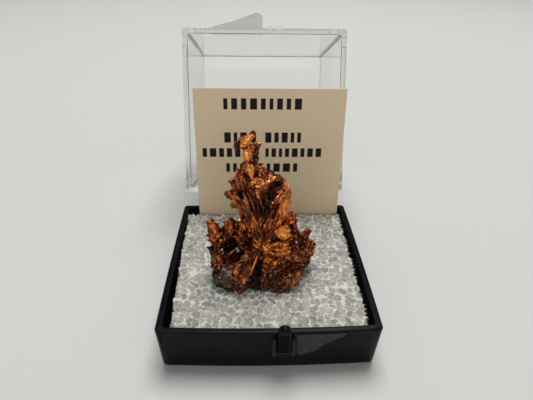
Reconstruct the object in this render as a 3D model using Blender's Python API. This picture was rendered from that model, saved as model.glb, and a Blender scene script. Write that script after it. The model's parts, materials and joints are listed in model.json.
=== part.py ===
"""Native copper specimen on a foam pad in a small hinged display box.

Metres, +Z up. The origin is the centre of the box's underside. The front of the box, with
its latch, faces -Y. The lid is modelled closed on its hinge axis and stands open at rest.
"""

import math
import random

import bmesh
import bpy
from mathutils import Matrix, Vector, noise

MM = 0.001

# Box, in millimetres
BOX = 35.0
BASE_HEIGHT = 8.5
BASE_TAPER = 0.37
WALL = 1.0
FLOOR = 1.1
CORNER = 0.65
INNER_CORNER = 0.5
FOOT_ROUND = 0.5
EDGE_BREAK = 0.12

# Lid, as it sits when closed
LID = 34.5
LID_DEPTH = 29.2
LID_WALL = 1.1
LID_CORNER = 0.65
LID_INNER_CORNER = 0.45
LID_DRAFT = 0.25
LID_GAP = 0.1
RIM_Z = BASE_HEIGHT + LID_GAP

# Hinge
HINGE_Y = 19.0
HINGE_Z = 9.0
TABLE_GAP = 0.03
EAR_X = (9.0, 10.6)
EAR_RADIUS = 1.25
PIN_END_X = 12.6
PIN_RADIUS = 0.7
LUG_X = (11.0, 12.8)
LUG_RADIUS = 1.45
EYE_RADIUS = 0.79

# Latch
LATCH_X = 2.2
LATCH_HALF = 1.0
LATCH_FOOT_Z = 5.2
LATCH_TOP_Z = 10.6
LATCH_FRONT = 0.95
LATCH_BACK = 0.35
FRAME_HALF = 1.95
FRAME_STRIP = 0.7
FRAME_FOOT_Z = 3.4
FRAME_PROUD = 0.4
BUMP_X = (1.05, 2.83)
BUMP_HALF = 0.6
BUMP_PROUD = 0.5
BUMP_Z = 9.2
BUMP_RADIUS = 0.5

# Foam pad and card
FOAM_X = (-15.9, 15.7)
FOAM_FRONT_Y = -15.9
FOAM_BACK_Y = 14.9
FOAM_BOTTOM_BACK_Y = 14.0
FOAM_Z = (1.4, 7.8)
CARD_WIDTH = 29.86
CARD_ABOVE = 26.0
CARD_BELOW = 6.6
CARD_THICK = 0.3
CARD_X = 0.83
CARD_Y = 15.4
CARD_LEAN = 7.5

# Clear seal film, cut through where the box opens
FILM_THICK = 0.12
FILM_GAP = 0.2
FLAP_LENGTH = 3.2
FLAP_TURN = math.radians(43.0)

# Copper
COPPER_FLOOR_Z = 8.1
VOXEL = 0.25
COPPER_TRIANGLES = 8100
CRYSTAL_COUNT = 300
CRYSTAL_SIZE = (0.32, 0.72)


def clear_scene():
    """Removes whatever the scene holds."""
    for obj in list(bpy.data.objects):
        bpy.data.objects.remove(obj)


def material(name, colour, roughness, metallic=0.0, alpha=1.0, transmission=0.0):
    """A Principled material of one colour."""
    made = bpy.data.materials.new(name)
    made.use_nodes = True
    shader = made.node_tree.nodes["Principled BSDF"]
    shader.inputs["Base Color"].default_value = (*colour, 1.0)
    shader.inputs["Roughness"].default_value = roughness
    shader.inputs["Metallic"].default_value = metallic
    shader.inputs["Alpha"].default_value = alpha
    shader.inputs["Transmission Weight"].default_value = transmission
    return made


def object_of(name, bm, finish, at=(0.0, 0.0, 0.0), smooth_below=30.0):
    """Turns a bmesh in millimetres into a named object in metres."""
    bmesh.ops.recalc_face_normals(bm, faces=bm.faces)
    bmesh.ops.scale(bm, vec=(MM, MM, MM), verts=bm.verts)
    mesh = bpy.data.meshes.new(name)
    bm.to_mesh(mesh)
    bm.free()
    mesh.shade_smooth()
    mesh.set_sharp_from_angle(angle=math.radians(smooth_below))
    obj = bpy.data.objects.new(name, mesh)
    obj.location = [value * MM for value in at]
    obj.data.materials.append(finish)
    bpy.context.scene.collection.objects.link(obj)
    return obj


def boolean(obj, other, operation):
    """Joins or cuts obj with other, and keeps other as a hidden helper."""
    modifier = obj.modifiers.new(other.name, "BOOLEAN")
    modifier.operation = operation
    modifier.solver = "EXACT"
    modifier.object = other
    other.hide_render = True
    other.display_type = "WIRE"


def rounded_square(half, radius, z, steps=5):
    """Points of a square with rounded corners, anticlockwise seen from above."""
    points = []
    for corner in range(4):
        turn = math.pi / 2 * corner
        centre = Vector((half - radius, half - radius, 0.0))
        for step in range(steps):
            angle = math.pi / 2 * step / (steps - 1)
            spot = centre + Vector((math.cos(angle), math.sin(angle), 0.0)) * radius
            spot.rotate(Matrix.Rotation(turn, 3, "Z"))
            points.append((spot.x, spot.y, z))
    return points


def loft(rings):
    """A closed bmesh through rings of equal point count, with its first and last ring capped."""
    bm = bmesh.new()
    made = [[bm.verts.new(point) for point in ring] for ring in rings]
    for lower, upper in zip(made, made[1:]):
        count = len(lower)
        for i in range(count):
            j = (i + 1) % count
            bm.faces.new((lower[i], lower[j], upper[j], upper[i]))
    bm.faces.new(made[0][::-1])
    bm.faces.new(made[-1])
    return bm


def prism(outline, x_from, x_to):
    """A prism along X of an outline in the YZ plane."""
    bm = bmesh.new()
    ends = [[bm.verts.new((x, y, z)) for y, z in outline] for x in (x_from, x_to)]
    count = len(outline)
    for i in range(count):
        j = (i + 1) % count
        bm.faces.new((ends[0][i], ends[0][j], ends[1][j], ends[1][i]))
    bm.faces.new(ends[0][::-1])
    bm.faces.new(ends[1])
    return bm


def circle(radius, centre=(0.0, 0.0), points=24):
    """An outline in the YZ plane."""
    turns = [2 * math.pi * i / points for i in range(points)]
    return [(centre[0] + radius * math.cos(t), centre[1] + radius * math.sin(t)) for t in turns]


def block(low, high):
    """A box from its lowest to its highest corner."""
    bm = bmesh.new()
    bmesh.ops.create_cube(bm, size=1.0)
    size = [b - a for a, b in zip(low, high)]
    middle = [(a + b) / 2 for a, b in zip(low, high)]
    bmesh.ops.scale(bm, vec=size, verts=bm.verts)
    bmesh.ops.translate(bm, vec=middle, verts=bm.verts)
    return bm


def base_tray(finish):
    """The black lower half: a shallow tray with latch post in front and hinge lugs behind."""
    foot = BOX / 2 - BASE_TAPER
    rim = BOX / 2
    inner = rim - WALL
    inner_foot = inner - BASE_TAPER + 0.07
    rings = [
        rounded_square(foot - FOOT_ROUND, CORNER - FOOT_ROUND, 0.0),
        rounded_square(foot - 0.29 * FOOT_ROUND, CORNER, 0.29 * FOOT_ROUND),
        rounded_square(foot, CORNER, FOOT_ROUND),
        rounded_square(rim, CORNER, BASE_HEIGHT - EDGE_BREAK),
        rounded_square(rim - EDGE_BREAK, CORNER - EDGE_BREAK, BASE_HEIGHT),
        rounded_square(inner, INNER_CORNER, BASE_HEIGHT),
        rounded_square(inner_foot, 0.4, FLOOR + 0.3),
        rounded_square(inner_foot - 0.3, 0.2, FLOOR),
    ]
    tray = object_of("base_tray", loft(rings), finish)
    for number, helper in enumerate(latch_shapes() + lug_shapes()):
        boolean(tray, object_of(f"tray_join_{number}", helper, finish), "UNION")
    for side in (-1, 1):
        ends = sorted((side * (LUG_X[0] - 0.5), side * (LUG_X[1] + 0.5)))
        eye = prism(circle(EYE_RADIUS, (HINGE_Y, HINGE_Z)), *ends)
        boolean(tray, object_of(f"eye_cutter_{side + 1}", eye, finish), "DIFFERENCE")
    return tray


def latch_shapes():
    """The frame and the sprung post on the front wall, each let into it."""
    front = -BOX / 2
    inside = front + 0.6
    left = LATCH_X - FRAME_HALF
    right = LATCH_X + FRAME_HALF
    proud = front - FRAME_PROUD
    top = BASE_HEIGHT - 0.35
    strips = [
        block((left, proud, FRAME_FOOT_Z), (left + FRAME_STRIP, inside, top)),
        block((right - FRAME_STRIP, proud, FRAME_FOOT_Z), (right, inside, top)),
        block((left + 0.1, proud - 0.05, FRAME_FOOT_Z), (right - 0.1, inside, FRAME_FOOT_Z + 0.6)),
    ]
    post = [(front - LATCH_FRONT, LATCH_FOOT_Z), (inside, LATCH_FOOT_Z), (inside, 7.6)]
    post += [(front - LATCH_BACK, 8.0), (front - LATCH_BACK, LATCH_TOP_Z)]
    post += [(front - LATCH_FRONT - 0.12, LATCH_TOP_Z), (front - LATCH_FRONT - 0.12, 9.1)]
    post += [(front - LATCH_FRONT, 8.9)]
    return strips + [round_top(prism(post[::-1], LATCH_X - LATCH_HALF, LATCH_X + LATCH_HALF))]


def round_top(bm):
    """Cuts the post's upper corners to a half circle with a fan of planes."""
    centre = Vector((LATCH_X, 0.0, LATCH_TOP_Z - LATCH_HALF))
    for degrees in (15, 40, 65, 90, 115, 140, 165):
        angle = math.radians(degrees)
        normal = Vector((math.cos(angle), 0.0, math.sin(angle)))
        parts = list(bm.verts) + list(bm.edges) + list(bm.faces)
        spot = centre + normal * LATCH_HALF
        cut = bmesh.ops.bisect_plane(bm, geom=parts, plane_co=spot, plane_no=normal, clear_outer=True)
        edges = [part for part in cut["geom_cut"] if isinstance(part, bmesh.types.BMEdge)]
        if edges:
            bmesh.ops.edgeloop_fill(bm, edges=edges)
    return bm


def lug_shapes():
    """Two hinge lugs: a round eye on a web that grows from the back wall."""
    wall = BOX / 2 - 0.35
    web = [(wall, HINGE_Z - 0.55), (wall, 4.6), (wall + 0.5, 4.6), (HINGE_Y + 1.3, HINGE_Z - 0.6)]
    web += [(HINGE_Y, HINGE_Z + 0.2), (HINGE_Y - 1.0, HINGE_Z - 0.55)]
    shapes = []
    for side in (-1, 1):
        ends = sorted((side * LUG_X[0], side * LUG_X[1]))
        shapes.append(prism(web, *ends))
        inset = (ends[0] + 0.02, ends[1] - 0.02)
        shapes.append(prism(circle(LUG_RADIUS, (HINGE_Y, HINGE_Z)), *inset))
    return shapes


def swung(y, z, degrees):
    """Where a point of the closed lid goes when the lid opens by so many degrees."""
    angle = math.radians(degrees)
    out, up = y - HINGE_Y, z - HINGE_Z
    return (
        HINGE_Y + out * math.cos(angle) + up * math.sin(angle),
        HINGE_Z - out * math.sin(angle) + up * math.cos(angle),
    )


def open_angle():
    """The angle at which the open lid's far corner comes to rest on the table."""
    corner = (LID / 2 - LID_DRAFT, RIM_Z + LID_DEPTH - EDGE_BREAK)
    low, high = 90.0, 130.0
    for _ in range(50):
        middle = (low + high) / 2
        if swung(*corner, middle)[1] > TABLE_GAP:
            low = middle
        else:
            high = middle
    return round(low, 2)


def lid_shape():
    """The clear lid, closed, about the hinge axis."""
    half = LID / 2
    top = RIM_Z + LID_DEPTH
    narrow = half - LID_DRAFT
    rings = [
        rounded_square(half, LID_CORNER, RIM_Z),
        rounded_square(narrow, LID_CORNER, top - EDGE_BREAK),
        rounded_square(narrow - EDGE_BREAK, LID_CORNER - EDGE_BREAK, top),
    ]
    inner = [
        rounded_square(half - LID_WALL, LID_INNER_CORNER, RIM_Z),
        rounded_square(narrow - LID_WALL, LID_INNER_CORNER, top - LID_WALL - 0.2),
        rounded_square(narrow - LID_WALL - 0.2, LID_INNER_CORNER - 0.2, top - LID_WALL),
    ]
    bm = loft(rings[::-1] + inner)
    bmesh.ops.translate(bm, vec=(0.0, -HINGE_Y, -HINGE_Z), verts=bm.verts)
    return bm


def ear_shapes():
    """Ears on the lid's back wall with the stub pins that turn in the lugs' eyes."""
    wall = LID / 2 - HINGE_Y
    arm = [(wall - 0.5, -0.35), (-0.9, -0.35), (0.0, -0.9), (0.6, 0.9), (-0.3, 1.2), (wall - 0.5, 1.6)]
    shapes = []
    for side in (-1, 1):
        ends = sorted((side * EAR_X[0], side * EAR_X[1]))
        shapes.append(prism(arm, *ends))
        inset = (ends[0] + 0.02, ends[1] - 0.02)
        shapes.append(prism(circle(EAR_RADIUS), *inset))
        stub = sorted((side * (EAR_X[1] - 0.6), side * PIN_END_X))
        shapes.append(prism(circle(PIN_RADIUS), *stub))
    return shapes


def bump_shapes():
    """Two short ribs on the lid's front wall that snap under the latch post."""
    front = -LID / 2 - HINGE_Y
    outline = [(front + 0.3, BUMP_Z - HINGE_Z + BUMP_RADIUS)]
    for step in range(7):
        angle = math.radians(90 + 30 * step)
        outline.append(
            (front + BUMP_PROUD * math.cos(angle), BUMP_Z - HINGE_Z + BUMP_RADIUS * math.sin(angle))
        )
    outline.append((front + 0.3, BUMP_Z - HINGE_Z - BUMP_RADIUS))
    return [prism(outline, x - BUMP_HALF, x + BUMP_HALF) for x in BUMP_X]


def lid(finish, angle):
    """The lid with its origin on the hinge axis, opened by the given angle."""
    at = (0.0, HINGE_Y, HINGE_Z)
    made = object_of("lid", lid_shape(), finish, at)
    made.rotation_euler.x = -math.radians(angle)
    for number, helper in enumerate(ear_shapes() + bump_shapes()):
        joined = object_of(f"lid_join_{number}", helper, finish, at)
        joined.rotation_euler.x = -math.radians(angle)
        boolean(made, joined, "UNION")
    return made


def foam_pad(finish):
    """The foam block, cut a little short behind, where the card goes down."""
    low, high = FOAM_Z
    rows = [(FOAM_FRONT_Y, low), (FOAM_BOTTOM_BACK_Y, low), (FOAM_BACK_Y, high), (FOAM_FRONT_Y, high)]
    return object_of("foam_pad", prism(rows, *FOAM_X), finish)


def label_card(finish):
    """The printed card, held behind the foam and leaning back."""
    half = CARD_WIDTH / 2
    bm = block((-half, 0.0, -CARD_BELOW), (half, CARD_THICK, CARD_ABOVE))
    made = object_of("label_card", bm, finish, (CARD_X, CARD_Y, BASE_HEIGHT))
    made.rotation_euler.x = -math.radians(CARD_LEAN)
    return made


def film(name, rows, finish, at=(0.0, 0.0, 0.0), turn=0.0):
    """A thin film through rows across X: left, right, y, z and the way its back face lies."""
    rings = []
    for left, right, y, z, out_y, out_z in rows:
        back = (y + out_y * FILM_THICK, z + out_z * FILM_THICK)
        rings.append([(left, y, z), (right, y, z), (right, *back), (left, *back)])
    made = object_of(name, loft(rings), finish, at)
    made.rotation_euler.x = turn
    return made


def seal_films(finish, angle):
    """What is left of the clear seal: one piece on the base, one folded over the lid's rim."""
    lean = math.atan2(BASE_TAPER, BASE_HEIGHT - FOOT_ROUND)
    rows = [(4.5, 11.6, 0.0, -0.6), (4.5, 6.0, 0.0, -4.3), (4.5, 4.8, 0.0, -5.1)]
    base = [(*row, -1.0, 0.0) for row in rows]
    film("seal_film_base", base, finish, (0.0, -BOX / 2 - FILM_GAP, BASE_HEIGHT), lean)
    wall = -LID / 2 - HINGE_Y - FILM_GAP
    fold = RIM_Z - HINGE_Z
    tip = (wall - FLAP_LENGTH * math.cos(FLAP_TURN), fold - FLAP_LENGTH * math.sin(FLAP_TURN))
    flap = [
        (-11.6, -0.5, wall, fold + 3.0, -1.0, 0.0),
        (-11.6, -0.5, wall, fold, -0.92, 0.39),
        (-1.5, -0.5, *tip, -math.sin(FLAP_TURN), math.cos(FLAP_TURN)),
    ]
    film("seal_film_lid", flap, finish, (0.0, HINGE_Y, HINGE_Z), -math.radians(angle))


# Rounded masses of the copper: centre, radii, and tilt in degrees in the picture plane
MASSES = [
    ((-1.2, -2.6, 23.2), (3.9, 2.5, 4.0), 8),
    ((-3.9, -2.7, 23.6), (2.3, 2.1, 2.7), -15),
    ((-3.8, -2.6, 26.4), (1.7, 1.6, 1.6), 0),
    ((0.7, -2.3, 25.2), (2.3, 1.9, 1.9), 20),
    ((-0.9, -3.1, 18.6), (3.1, 2.7, 2.9), 0),
    ((-2.9, -2.4, 28.3), (1.3, 1.2, 1.5), 0),
    ((-1.2, -2.6, 12.6), (5.2, 4.4, 4.6), 0),
    ((-6.2, -3.0, 13.2), (3.2, 3.4, 3.6), 10),
    ((3.6, -3.0, 12.4), (3.6, 4.0, 3.9), 0),
    ((-6.6, -4.9, 10.2), (3.1, 3.6, 3.1), 0),
    ((-0.9, -5.3, 9.8), (3.6, 3.6, 2.6), 0),
    ((3.0, -5.2, 9.8), (3.7, 4.0, 2.7), 0),
    ((0.2, 0.6, 10.4), (6.6, 3.2, 3.2), 0),
    ((6.0, -2.0, 11.2), (2.4, 3.0, 2.6), 0),
    ((0.0, 0.4, 15.6), (3.6, 2.2, 3.6), 0),
]

# Limbs and spurs: points with the radius at each
LIMBS = {
    "neck": [(-2.8, -2.5, 27.5, 1.2), (-3.1, -2.5, 29.6, 0.95), (-3.1, -2.5, 31.5, 0.85)],
    "neck back blade": [(-2.1, -2.2, 28.6, 0.5), (-1.95, -2.2, 31.8, 0.42)],
    "crown left knob": [(-3.6, -2.6, 32.45, 0.8), (-4.8, -2.7, 32.4, 0.76)],
    "crown lobe": [
        (-3.4, -2.6, 32.2, 0.75),
        (-3.85, -2.7, 32.95, 0.85),
        (-3.1, -2.7, 33.75, 0.7),
        (-2.45, -2.7, 34.3, 0.46),
    ],
    "crown right arm": [(-3.0, -2.5, 32.0, 0.5), (-2.1, -2.5, 32.4, 0.34), (-1.4, -2.5, 32.35, 0.44)],
    "upper left knob": [(-5.2, -2.8, 24.0, 1.0), (-6.4, -2.8, 23.5, 0.75)],
    "upper left lower knob": [(-4.8, -2.8, 22.4, 1.0), (-5.7, -2.8, 21.8, 0.7)],
    "upper left upper knob": [(-4.6, -2.7, 25.6, 0.9), (-5.8, -2.7, 25.9, 0.65)],
    "shoulder left knob": [(-4.2, -2.6, 27.2, 0.9), (-4.9, -2.6, 27.9, 0.6)],
    "shoulder right knob": [(-1.6, -2.4, 26.8, 0.9), (-1.0, -2.4, 28.2, 0.6)],
    "right fold": [
        (2.4, -2.3, 25.7, 1.0),
        (2.75, -2.6, 23.6, 1.1),
        (2.3, -3.1, 20.9, 1.05),
        (1.1, -3.9, 18.0, 0.95),
        (-0.6, -4.9, 15.2, 0.8),
    ],
    "front rib left": [(-4.0, -4.4, 25.6, 0.5), (-2.8, -5.0, 21.6, 0.6), (-1.2, -5.4, 17.2, 0.5)],
    "front rib middle": [(-2.0, -4.9, 26.0, 0.45), (-0.9, -5.1, 22.0, 0.5), (-0.2, -5.3, 18.2, 0.5)],
    "front rib right": [(0.2, -4.6, 25.2, 0.4), (0.6, -4.9, 21.4, 0.45)],
    "back rib left": [(-4.2, -0.6, 26.0, 0.6), (-3.6, 0.3, 21.0, 0.7), (-4.4, 1.0, 15.5, 0.6)],
    "back rib right": [(1.4, -0.2, 26.4, 0.6), (0.4, 0.3, 21.4, 0.8), (2.4, 1.8, 15.0, 0.8)],
    "left spur": [(-8.1, -3.0, 13.2, 1.4), (-9.1, -3.0, 16.0, 1.3), (-9.7, -3.0, 18.9, 0.6)],
    "left spur shoulder": [(-8.3, -3.0, 14.4, 1.0), (-8.2, -3.2, 16.4, 0.55)],
    "second spur": [(-6.4, -3.1, 14.5, 1.2), (-6.6, -3.1, 17.2, 1.05), (-6.4, -3.1, 18.5, 0.85)],
    "third spur": [(-4.2, -3.3, 16.0, 1.2), (-4.5, -3.3, 18.0, 0.85)],
    "side thorn": [(-8.6, -3.1, 12.4, 0.6), (-10.6, -3.1, 13.1, 0.35)],
    "left pebble": [(-8.4, -4.6, 12.0, 1.2), (-8.8, -5.0, 10.8, 1.3)],
    "right knob": [(2.9, -2.6, 15.6, 1.2), (3.7, -2.6, 17.6, 1.0), (3.9, -2.6, 19.0, 0.9)],
    "right cluster": [(3.8, -3.0, 15.0, 1.4), (5.0, -3.0, 16.4, 0.8)],
    "far knob": [(5.2, -2.6, 14.0, 1.1), (6.5, -2.6, 14.9, 0.6), (6.9, -2.6, 16.1, 0.55)],
    "far right knob": [(6.0, -2.5, 12.6, 1.4), (7.5, -2.5, 13.3, 1.0)],
    "right lower knob": [(5.6, -3.0, 10.4, 1.3), (7.2, -2.9, 10.4, 0.8)],
    "right foot knob": [(4.4, -5.0, 9.6, 1.3), (5.7, -5.2, 9.4, 0.8)],
    "front foot": [(1.6, -6.8, 9.6, 1.3), (1.9, -8.8, 8.7, 0.95)],
    "front foot right": [(3.0, -6.0, 10.2, 1.4), (4.0, -7.6, 9.0, 0.95)],
    "front foot middle": [(-1.0, -6.6, 9.6, 1.3), (-0.8, -8.4, 8.7, 0.95)],
    "left foot knob": [(-7.6, -5.6, 10.4, 1.3), (-8.8, -6.8, 9.2, 1.0)],
    "left foot front": [(-6.2, -6.4, 10.0, 1.3), (-7.0, -7.8, 8.8, 1.0)],
    "rear knob": [(1.5, 2.4, 12.6, 1.3), (2.0, 4.2, 12.0, 0.9)],
    "rear left knob": [(-3.8, 2.0, 12.0, 1.3), (-5.2, 3.2, 12.9, 0.8)],
    "rear foot": [(-1.0, 2.4, 9.4, 1.4), (-1.2, 4.0, 8.8, 0.9)],
}

# Plates and wedges: each the hull of a few corners
PLATES = {
    "front wedge": [
        (-1.7, -6.5, 15.9),
        (-4.3, -9.2, 7.9),
        (-4.9, -5.4, 15.6),
        (-6.2, -8.2, 7.9),
        (-2.4, -3.5, 15.6),
        (-3.0, -5.2, 8.1),
        (-1.6, -5.6, 15.4),
    ],
    "neck ribbon": [
        (-3.5, -3.5, 29.6),
        (-3.0, -3.7, 30.0),
        (-2.2, -4.5, 26.4),
        (-2.8, -4.3, 27.6),
        (-2.7, -3.0, 28.6),
    ],
    "crown blade": [
        (-2.6, -3.1, 31.6),
        (-1.7, -2.9, 31.7),
        (-1.9, -3.0, 28.9),
        (-2.5, -3.1, 28.6),
        (-2.2, -2.4, 30.2),
    ],
    "upper ledge": [
        (-1.0, -6.0, 15.3),
        (4.6, -5.4, 15.9),
        (5.0, -4.0, 15.4),
        (-0.4, -4.0, 15.6),
        (4.0, -5.8, 15.2),
        (0.4, -6.6, 14.7),
    ],
    "lower ledge": [
        (0.4, -6.4, 13.3),
        (5.6, -5.6, 14.0),
        (6.2, -4.0, 13.2),
        (0.8, -4.2, 12.9),
        (3.2, -6.6, 13.0),
    ],
    "left shelf": [
        (-9.0, -4.4, 14.6),
        (-5.2, -5.6, 15.5),
        (-4.6, -4.6, 15.2),
        (-8.6, -3.6, 14.3),
        (-6.4, -5.8, 14.6),
    ],
    "back plate": [
        (-2.8, 0.4, 24.4),
        (0.8, 0.3, 23.8),
        (1.6, 2.2, 16.0),
        (-2.0, 2.6, 15.4),
        (-0.4, -0.6, 19.6),
    ],
}

ROUND_PLATE = ((2.9, -5.3, 17.0), (1.3, 0.6, 1.2))

# Hollows pressed into the skin: centre, radius and depth
PITS = [
    ((-7.0, -6.4, 13.6), 1.7, 1.3),
    ((-4.8, -6.6, 13.2), 1.2, 0.8),
    ((-2.0, -7.4, 13.2), 0.9, 1.1),
    ((-2.4, -8.2, 10.8), 1.1, 1.5),
    ((-2.8, -8.8, 8.8), 1.0, 1.2),
    ((1.7, -4.4, 25.0), 1.2, 0.9),
    ((-4.8, -4.8, 22.8), 1.0, 0.8),
    ((1.0, -8.0, 11.6), 1.2, 0.7),
    ((4.2, -6.6, 11.8), 1.3, 0.8),
    ((-0.6, -4.6, 26.6), 0.8, 0.6),
    ((-5.6, 2.6, 10.4), 1.5, 1.0),
    ((3.8, 2.6, 12.8), 1.6, 1.0),
    ((-0.6, 1.2, 21.0), 1.4, 0.8),
    ((-2.6, -0.4, 25.2), 1.0, 0.7),
    ((0.4, 3.6, 10.6), 1.2, 0.9),
]


def lump(clay, centre, radii, tilt=0.0):
    """Adds one faceted rounded mass."""
    made = bmesh.ops.create_icosphere(clay, subdivisions=2, radius=1.0)
    turn = Matrix.Rotation(math.radians(tilt), 4, "Y")
    place = Matrix.Translation(centre) @ turn @ Matrix.Diagonal((*radii, 1.0))
    bmesh.ops.transform(clay, matrix=place, verts=made["verts"])


def limb(clay, points):
    """Adds a chain of lumps and tapered links between them."""
    for start, end in zip(points, points[1:]):
        a, b = Vector(start[:3]), Vector(end[:3])
        along = b - a
        made = bmesh.ops.create_cone(
            clay,
            cap_ends=True,
            segments=6,
            radius1=start[3],
            radius2=end[3],
            depth=along.length,
        )
        turn = along.to_track_quat("Z", "Y").to_matrix().to_4x4()
        place = Matrix.Translation((a + b) / 2) @ turn
        bmesh.ops.transform(clay, matrix=place, verts=made["verts"])
    for x, y, z, radius in points:
        lump(clay, (x, y, z), (radius, radius, radius))


def plate(clay, corners):
    """Adds the hull of some corners."""
    verts = [clay.verts.new(corner) for corner in corners]
    bmesh.ops.convex_hull(clay, input=verts)


def crystals(clay, dice, count):
    """Scatters small angular crystals over the masses, most of them on the outer knobs."""
    clay.faces.ensure_lookup_table()
    faces = [face for face in clay.faces if face.calc_center_median().z > COPPER_FLOOR_Z + 0.4]
    weights = [face.calc_area() for face in faces]
    spots = []
    for face in dice.choices(faces, weights, k=count):
        spots.append((face.calc_center_median().copy(), face.normal.copy()))
    for spot, normal in spots:
        size = dice.uniform(*CRYSTAL_SIZE)
        stretch = (1.0, dice.uniform(0.6, 1.0), dice.uniform(0.8, 1.7))
        if dice.random() < 0.5:
            made = bmesh.ops.create_cube(clay, size=1.5 * size)["verts"]
        else:
            made = bmesh.ops.create_icosphere(clay, subdivisions=1, radius=size)["verts"]
        swirl = noise.noise_vector(spot * 0.35) * 2.5
        turn = Matrix.Rotation(swirl.x + dice.uniform(-0.5, 0.5), 4, "Z")
        turn = Matrix.Rotation(swirl.y + dice.uniform(-0.5, 0.5), 4, "X") @ turn
        place = Matrix.Translation(spot + normal * size * 0.25) @ turn
        bmesh.ops.transform(clay, matrix=place @ Matrix.Diagonal((*stretch, 1.0)), verts=made)


def evaluated_mesh(obj):
    """The object's mesh with its modifiers applied."""
    bpy.context.view_layer.update()
    graph = bpy.context.evaluated_depsgraph_get()
    return bpy.data.meshes.new_from_object(obj.evaluated_get(graph))


def largest_piece(bm):
    """Deletes every loose piece and sealed bubble but the largest piece."""
    seen = set()
    pieces = []
    for seed in bm.verts:
        if seed in seen:
            continue
        piece = [seed]
        seen.add(seed)
        for vert in piece:
            for edge in vert.link_edges:
                other = edge.other_vert(vert)
                if other not in seen:
                    seen.add(other)
                    piece.append(other)
        pieces.append(piece)
    pieces.sort(key=len)
    small = [vert for piece in pieces[:-1] for vert in piece]
    bmesh.ops.delete(bm, geom=small, context="VERTS")


def skinned(mesh, voxel):
    """One closed skin over the mesh, as a new bmesh without loose pieces."""
    helper = bpy.data.objects.new("clay", mesh)
    bpy.context.scene.collection.objects.link(helper)
    wrap = helper.modifiers.new("skin", "REMESH")
    wrap.mode = "VOXEL"
    wrap.voxel_size = voxel
    for trial in range(8):
        bm = bmesh.new()
        bm.from_mesh(evaluated_mesh(helper))
        largest_piece(bm)
        if all(edge.is_manifold for edge in bm.edges):
            break
        bm.free()
        wrap.voxel_size = voxel * (1.0 + 0.013 * (trial + 1))
    bpy.data.objects.remove(helper)
    return bm


def roughen(bm):
    """Presses hollows and raises ridges, following bands that run down the specimen."""
    bm.normal_update()
    moves = []
    for vert in bm.verts:
        spot = vert.co
        hollows = noise.noise(spot * 0.55) + 0.5 * noise.noise(spot * 1.3)
        bands = noise.noise(Vector((spot.x * 1.5 + spot.z * 0.3, spot.y * 1.3, spot.z * 0.35)))
        lift = 0.3 * hollows + 0.24 * bands
        for centre, radius, depth in PITS:
            near = 1.0 - (spot - Vector(centre)).length_squared / (radius * radius)
            lift -= depth * max(near, 0.0)
        moves.append(vert.normal * lift)
    for vert, move in zip(bm.verts, moves):
        vert.co += move


def copper_clay():
    """All masses, limbs, plates and crystals as one loose heap of closed shapes."""
    clay = bmesh.new()
    for centre, radii, tilt in MASSES:
        lump(clay, centre, radii, tilt)
    for points in LIMBS.values():
        limb(clay, points)
    for corners in PLATES.values():
        plate(clay, corners)
    lump(clay, *ROUND_PLATE)
    clay.normal_update()
    crystals(clay, random.Random(29), CRYSTAL_COUNT)
    return clay


def native_copper(finish):
    """The specimen: one skin over its masses, roughened, cut flat below and thinned."""
    clay = copper_clay()
    bmesh.ops.recalc_face_normals(clay, faces=clay.faces)
    heap = bpy.data.meshes.new("heap")
    clay.to_mesh(heap)
    clay.free()
    bm = skinned(heap, VOXEL)
    roughen(bm)
    rough = bpy.data.meshes.new("rough")
    bm.to_mesh(rough)
    bm.free()
    bm = skinned(rough, VOXEL)
    parts = list(bm.verts) + list(bm.edges) + list(bm.faces)
    level = (0.0, 0.0, COPPER_FLOOR_Z)
    cut = bmesh.ops.bisect_plane(bm, geom=parts, plane_co=level, plane_no=(0, 0, -1), clear_outer=True)
    edges = [part for part in cut["geom_cut"] if isinstance(part, bmesh.types.BMEdge)]
    bmesh.ops.holes_fill(bm, edges=edges, sides=0)
    bmesh.ops.triangulate(bm, faces=bm.faces)
    largest_piece(bm)
    share = COPPER_TRIANGLES / len(bm.faces)
    made = object_of("native_copper", bm, finish, smooth_below=35.0)
    thin = made.modifiers.new("thin", "DECIMATE")
    thin.ratio = share
    return made


def main():
    clear_scene()
    angle = open_angle()
    black = material("black_plastic", (0.012, 0.013, 0.015), 0.32)
    clear = material("clear_plastic", (0.93, 0.93, 0.88), 0.08, alpha=0.35, transmission=0.6)
    foam = material("foam", (0.72, 0.71, 0.66), 0.95)
    card = material("card", (0.58, 0.5, 0.38), 0.8)
    tape = material("tape", (0.6, 0.58, 0.53), 0.6, alpha=0.6)
    copper = material("copper", (0.42, 0.14, 0.04), 0.38, metallic=1.0)
    base_tray(black)
    lid(clear, angle)
    foam_pad(foam)
    label_card(card)
    seal_films(tape, angle)
    native_copper(copper)


main()
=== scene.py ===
"""Looks of a native copper specimen in a small hinged display box.

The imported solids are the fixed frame. Each class builds the visible form of one
sub-assembly around its solid, in millimetres, and dresses it. Objects are in metres.
"""

import json
import logging
import math
from dataclasses import dataclass, field
from enum import Enum
from typing import Any, Callable, Iterable, Sequence

import bmesh
import bpy
import numpy as np
from mathutils import Matrix, Vector

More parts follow.
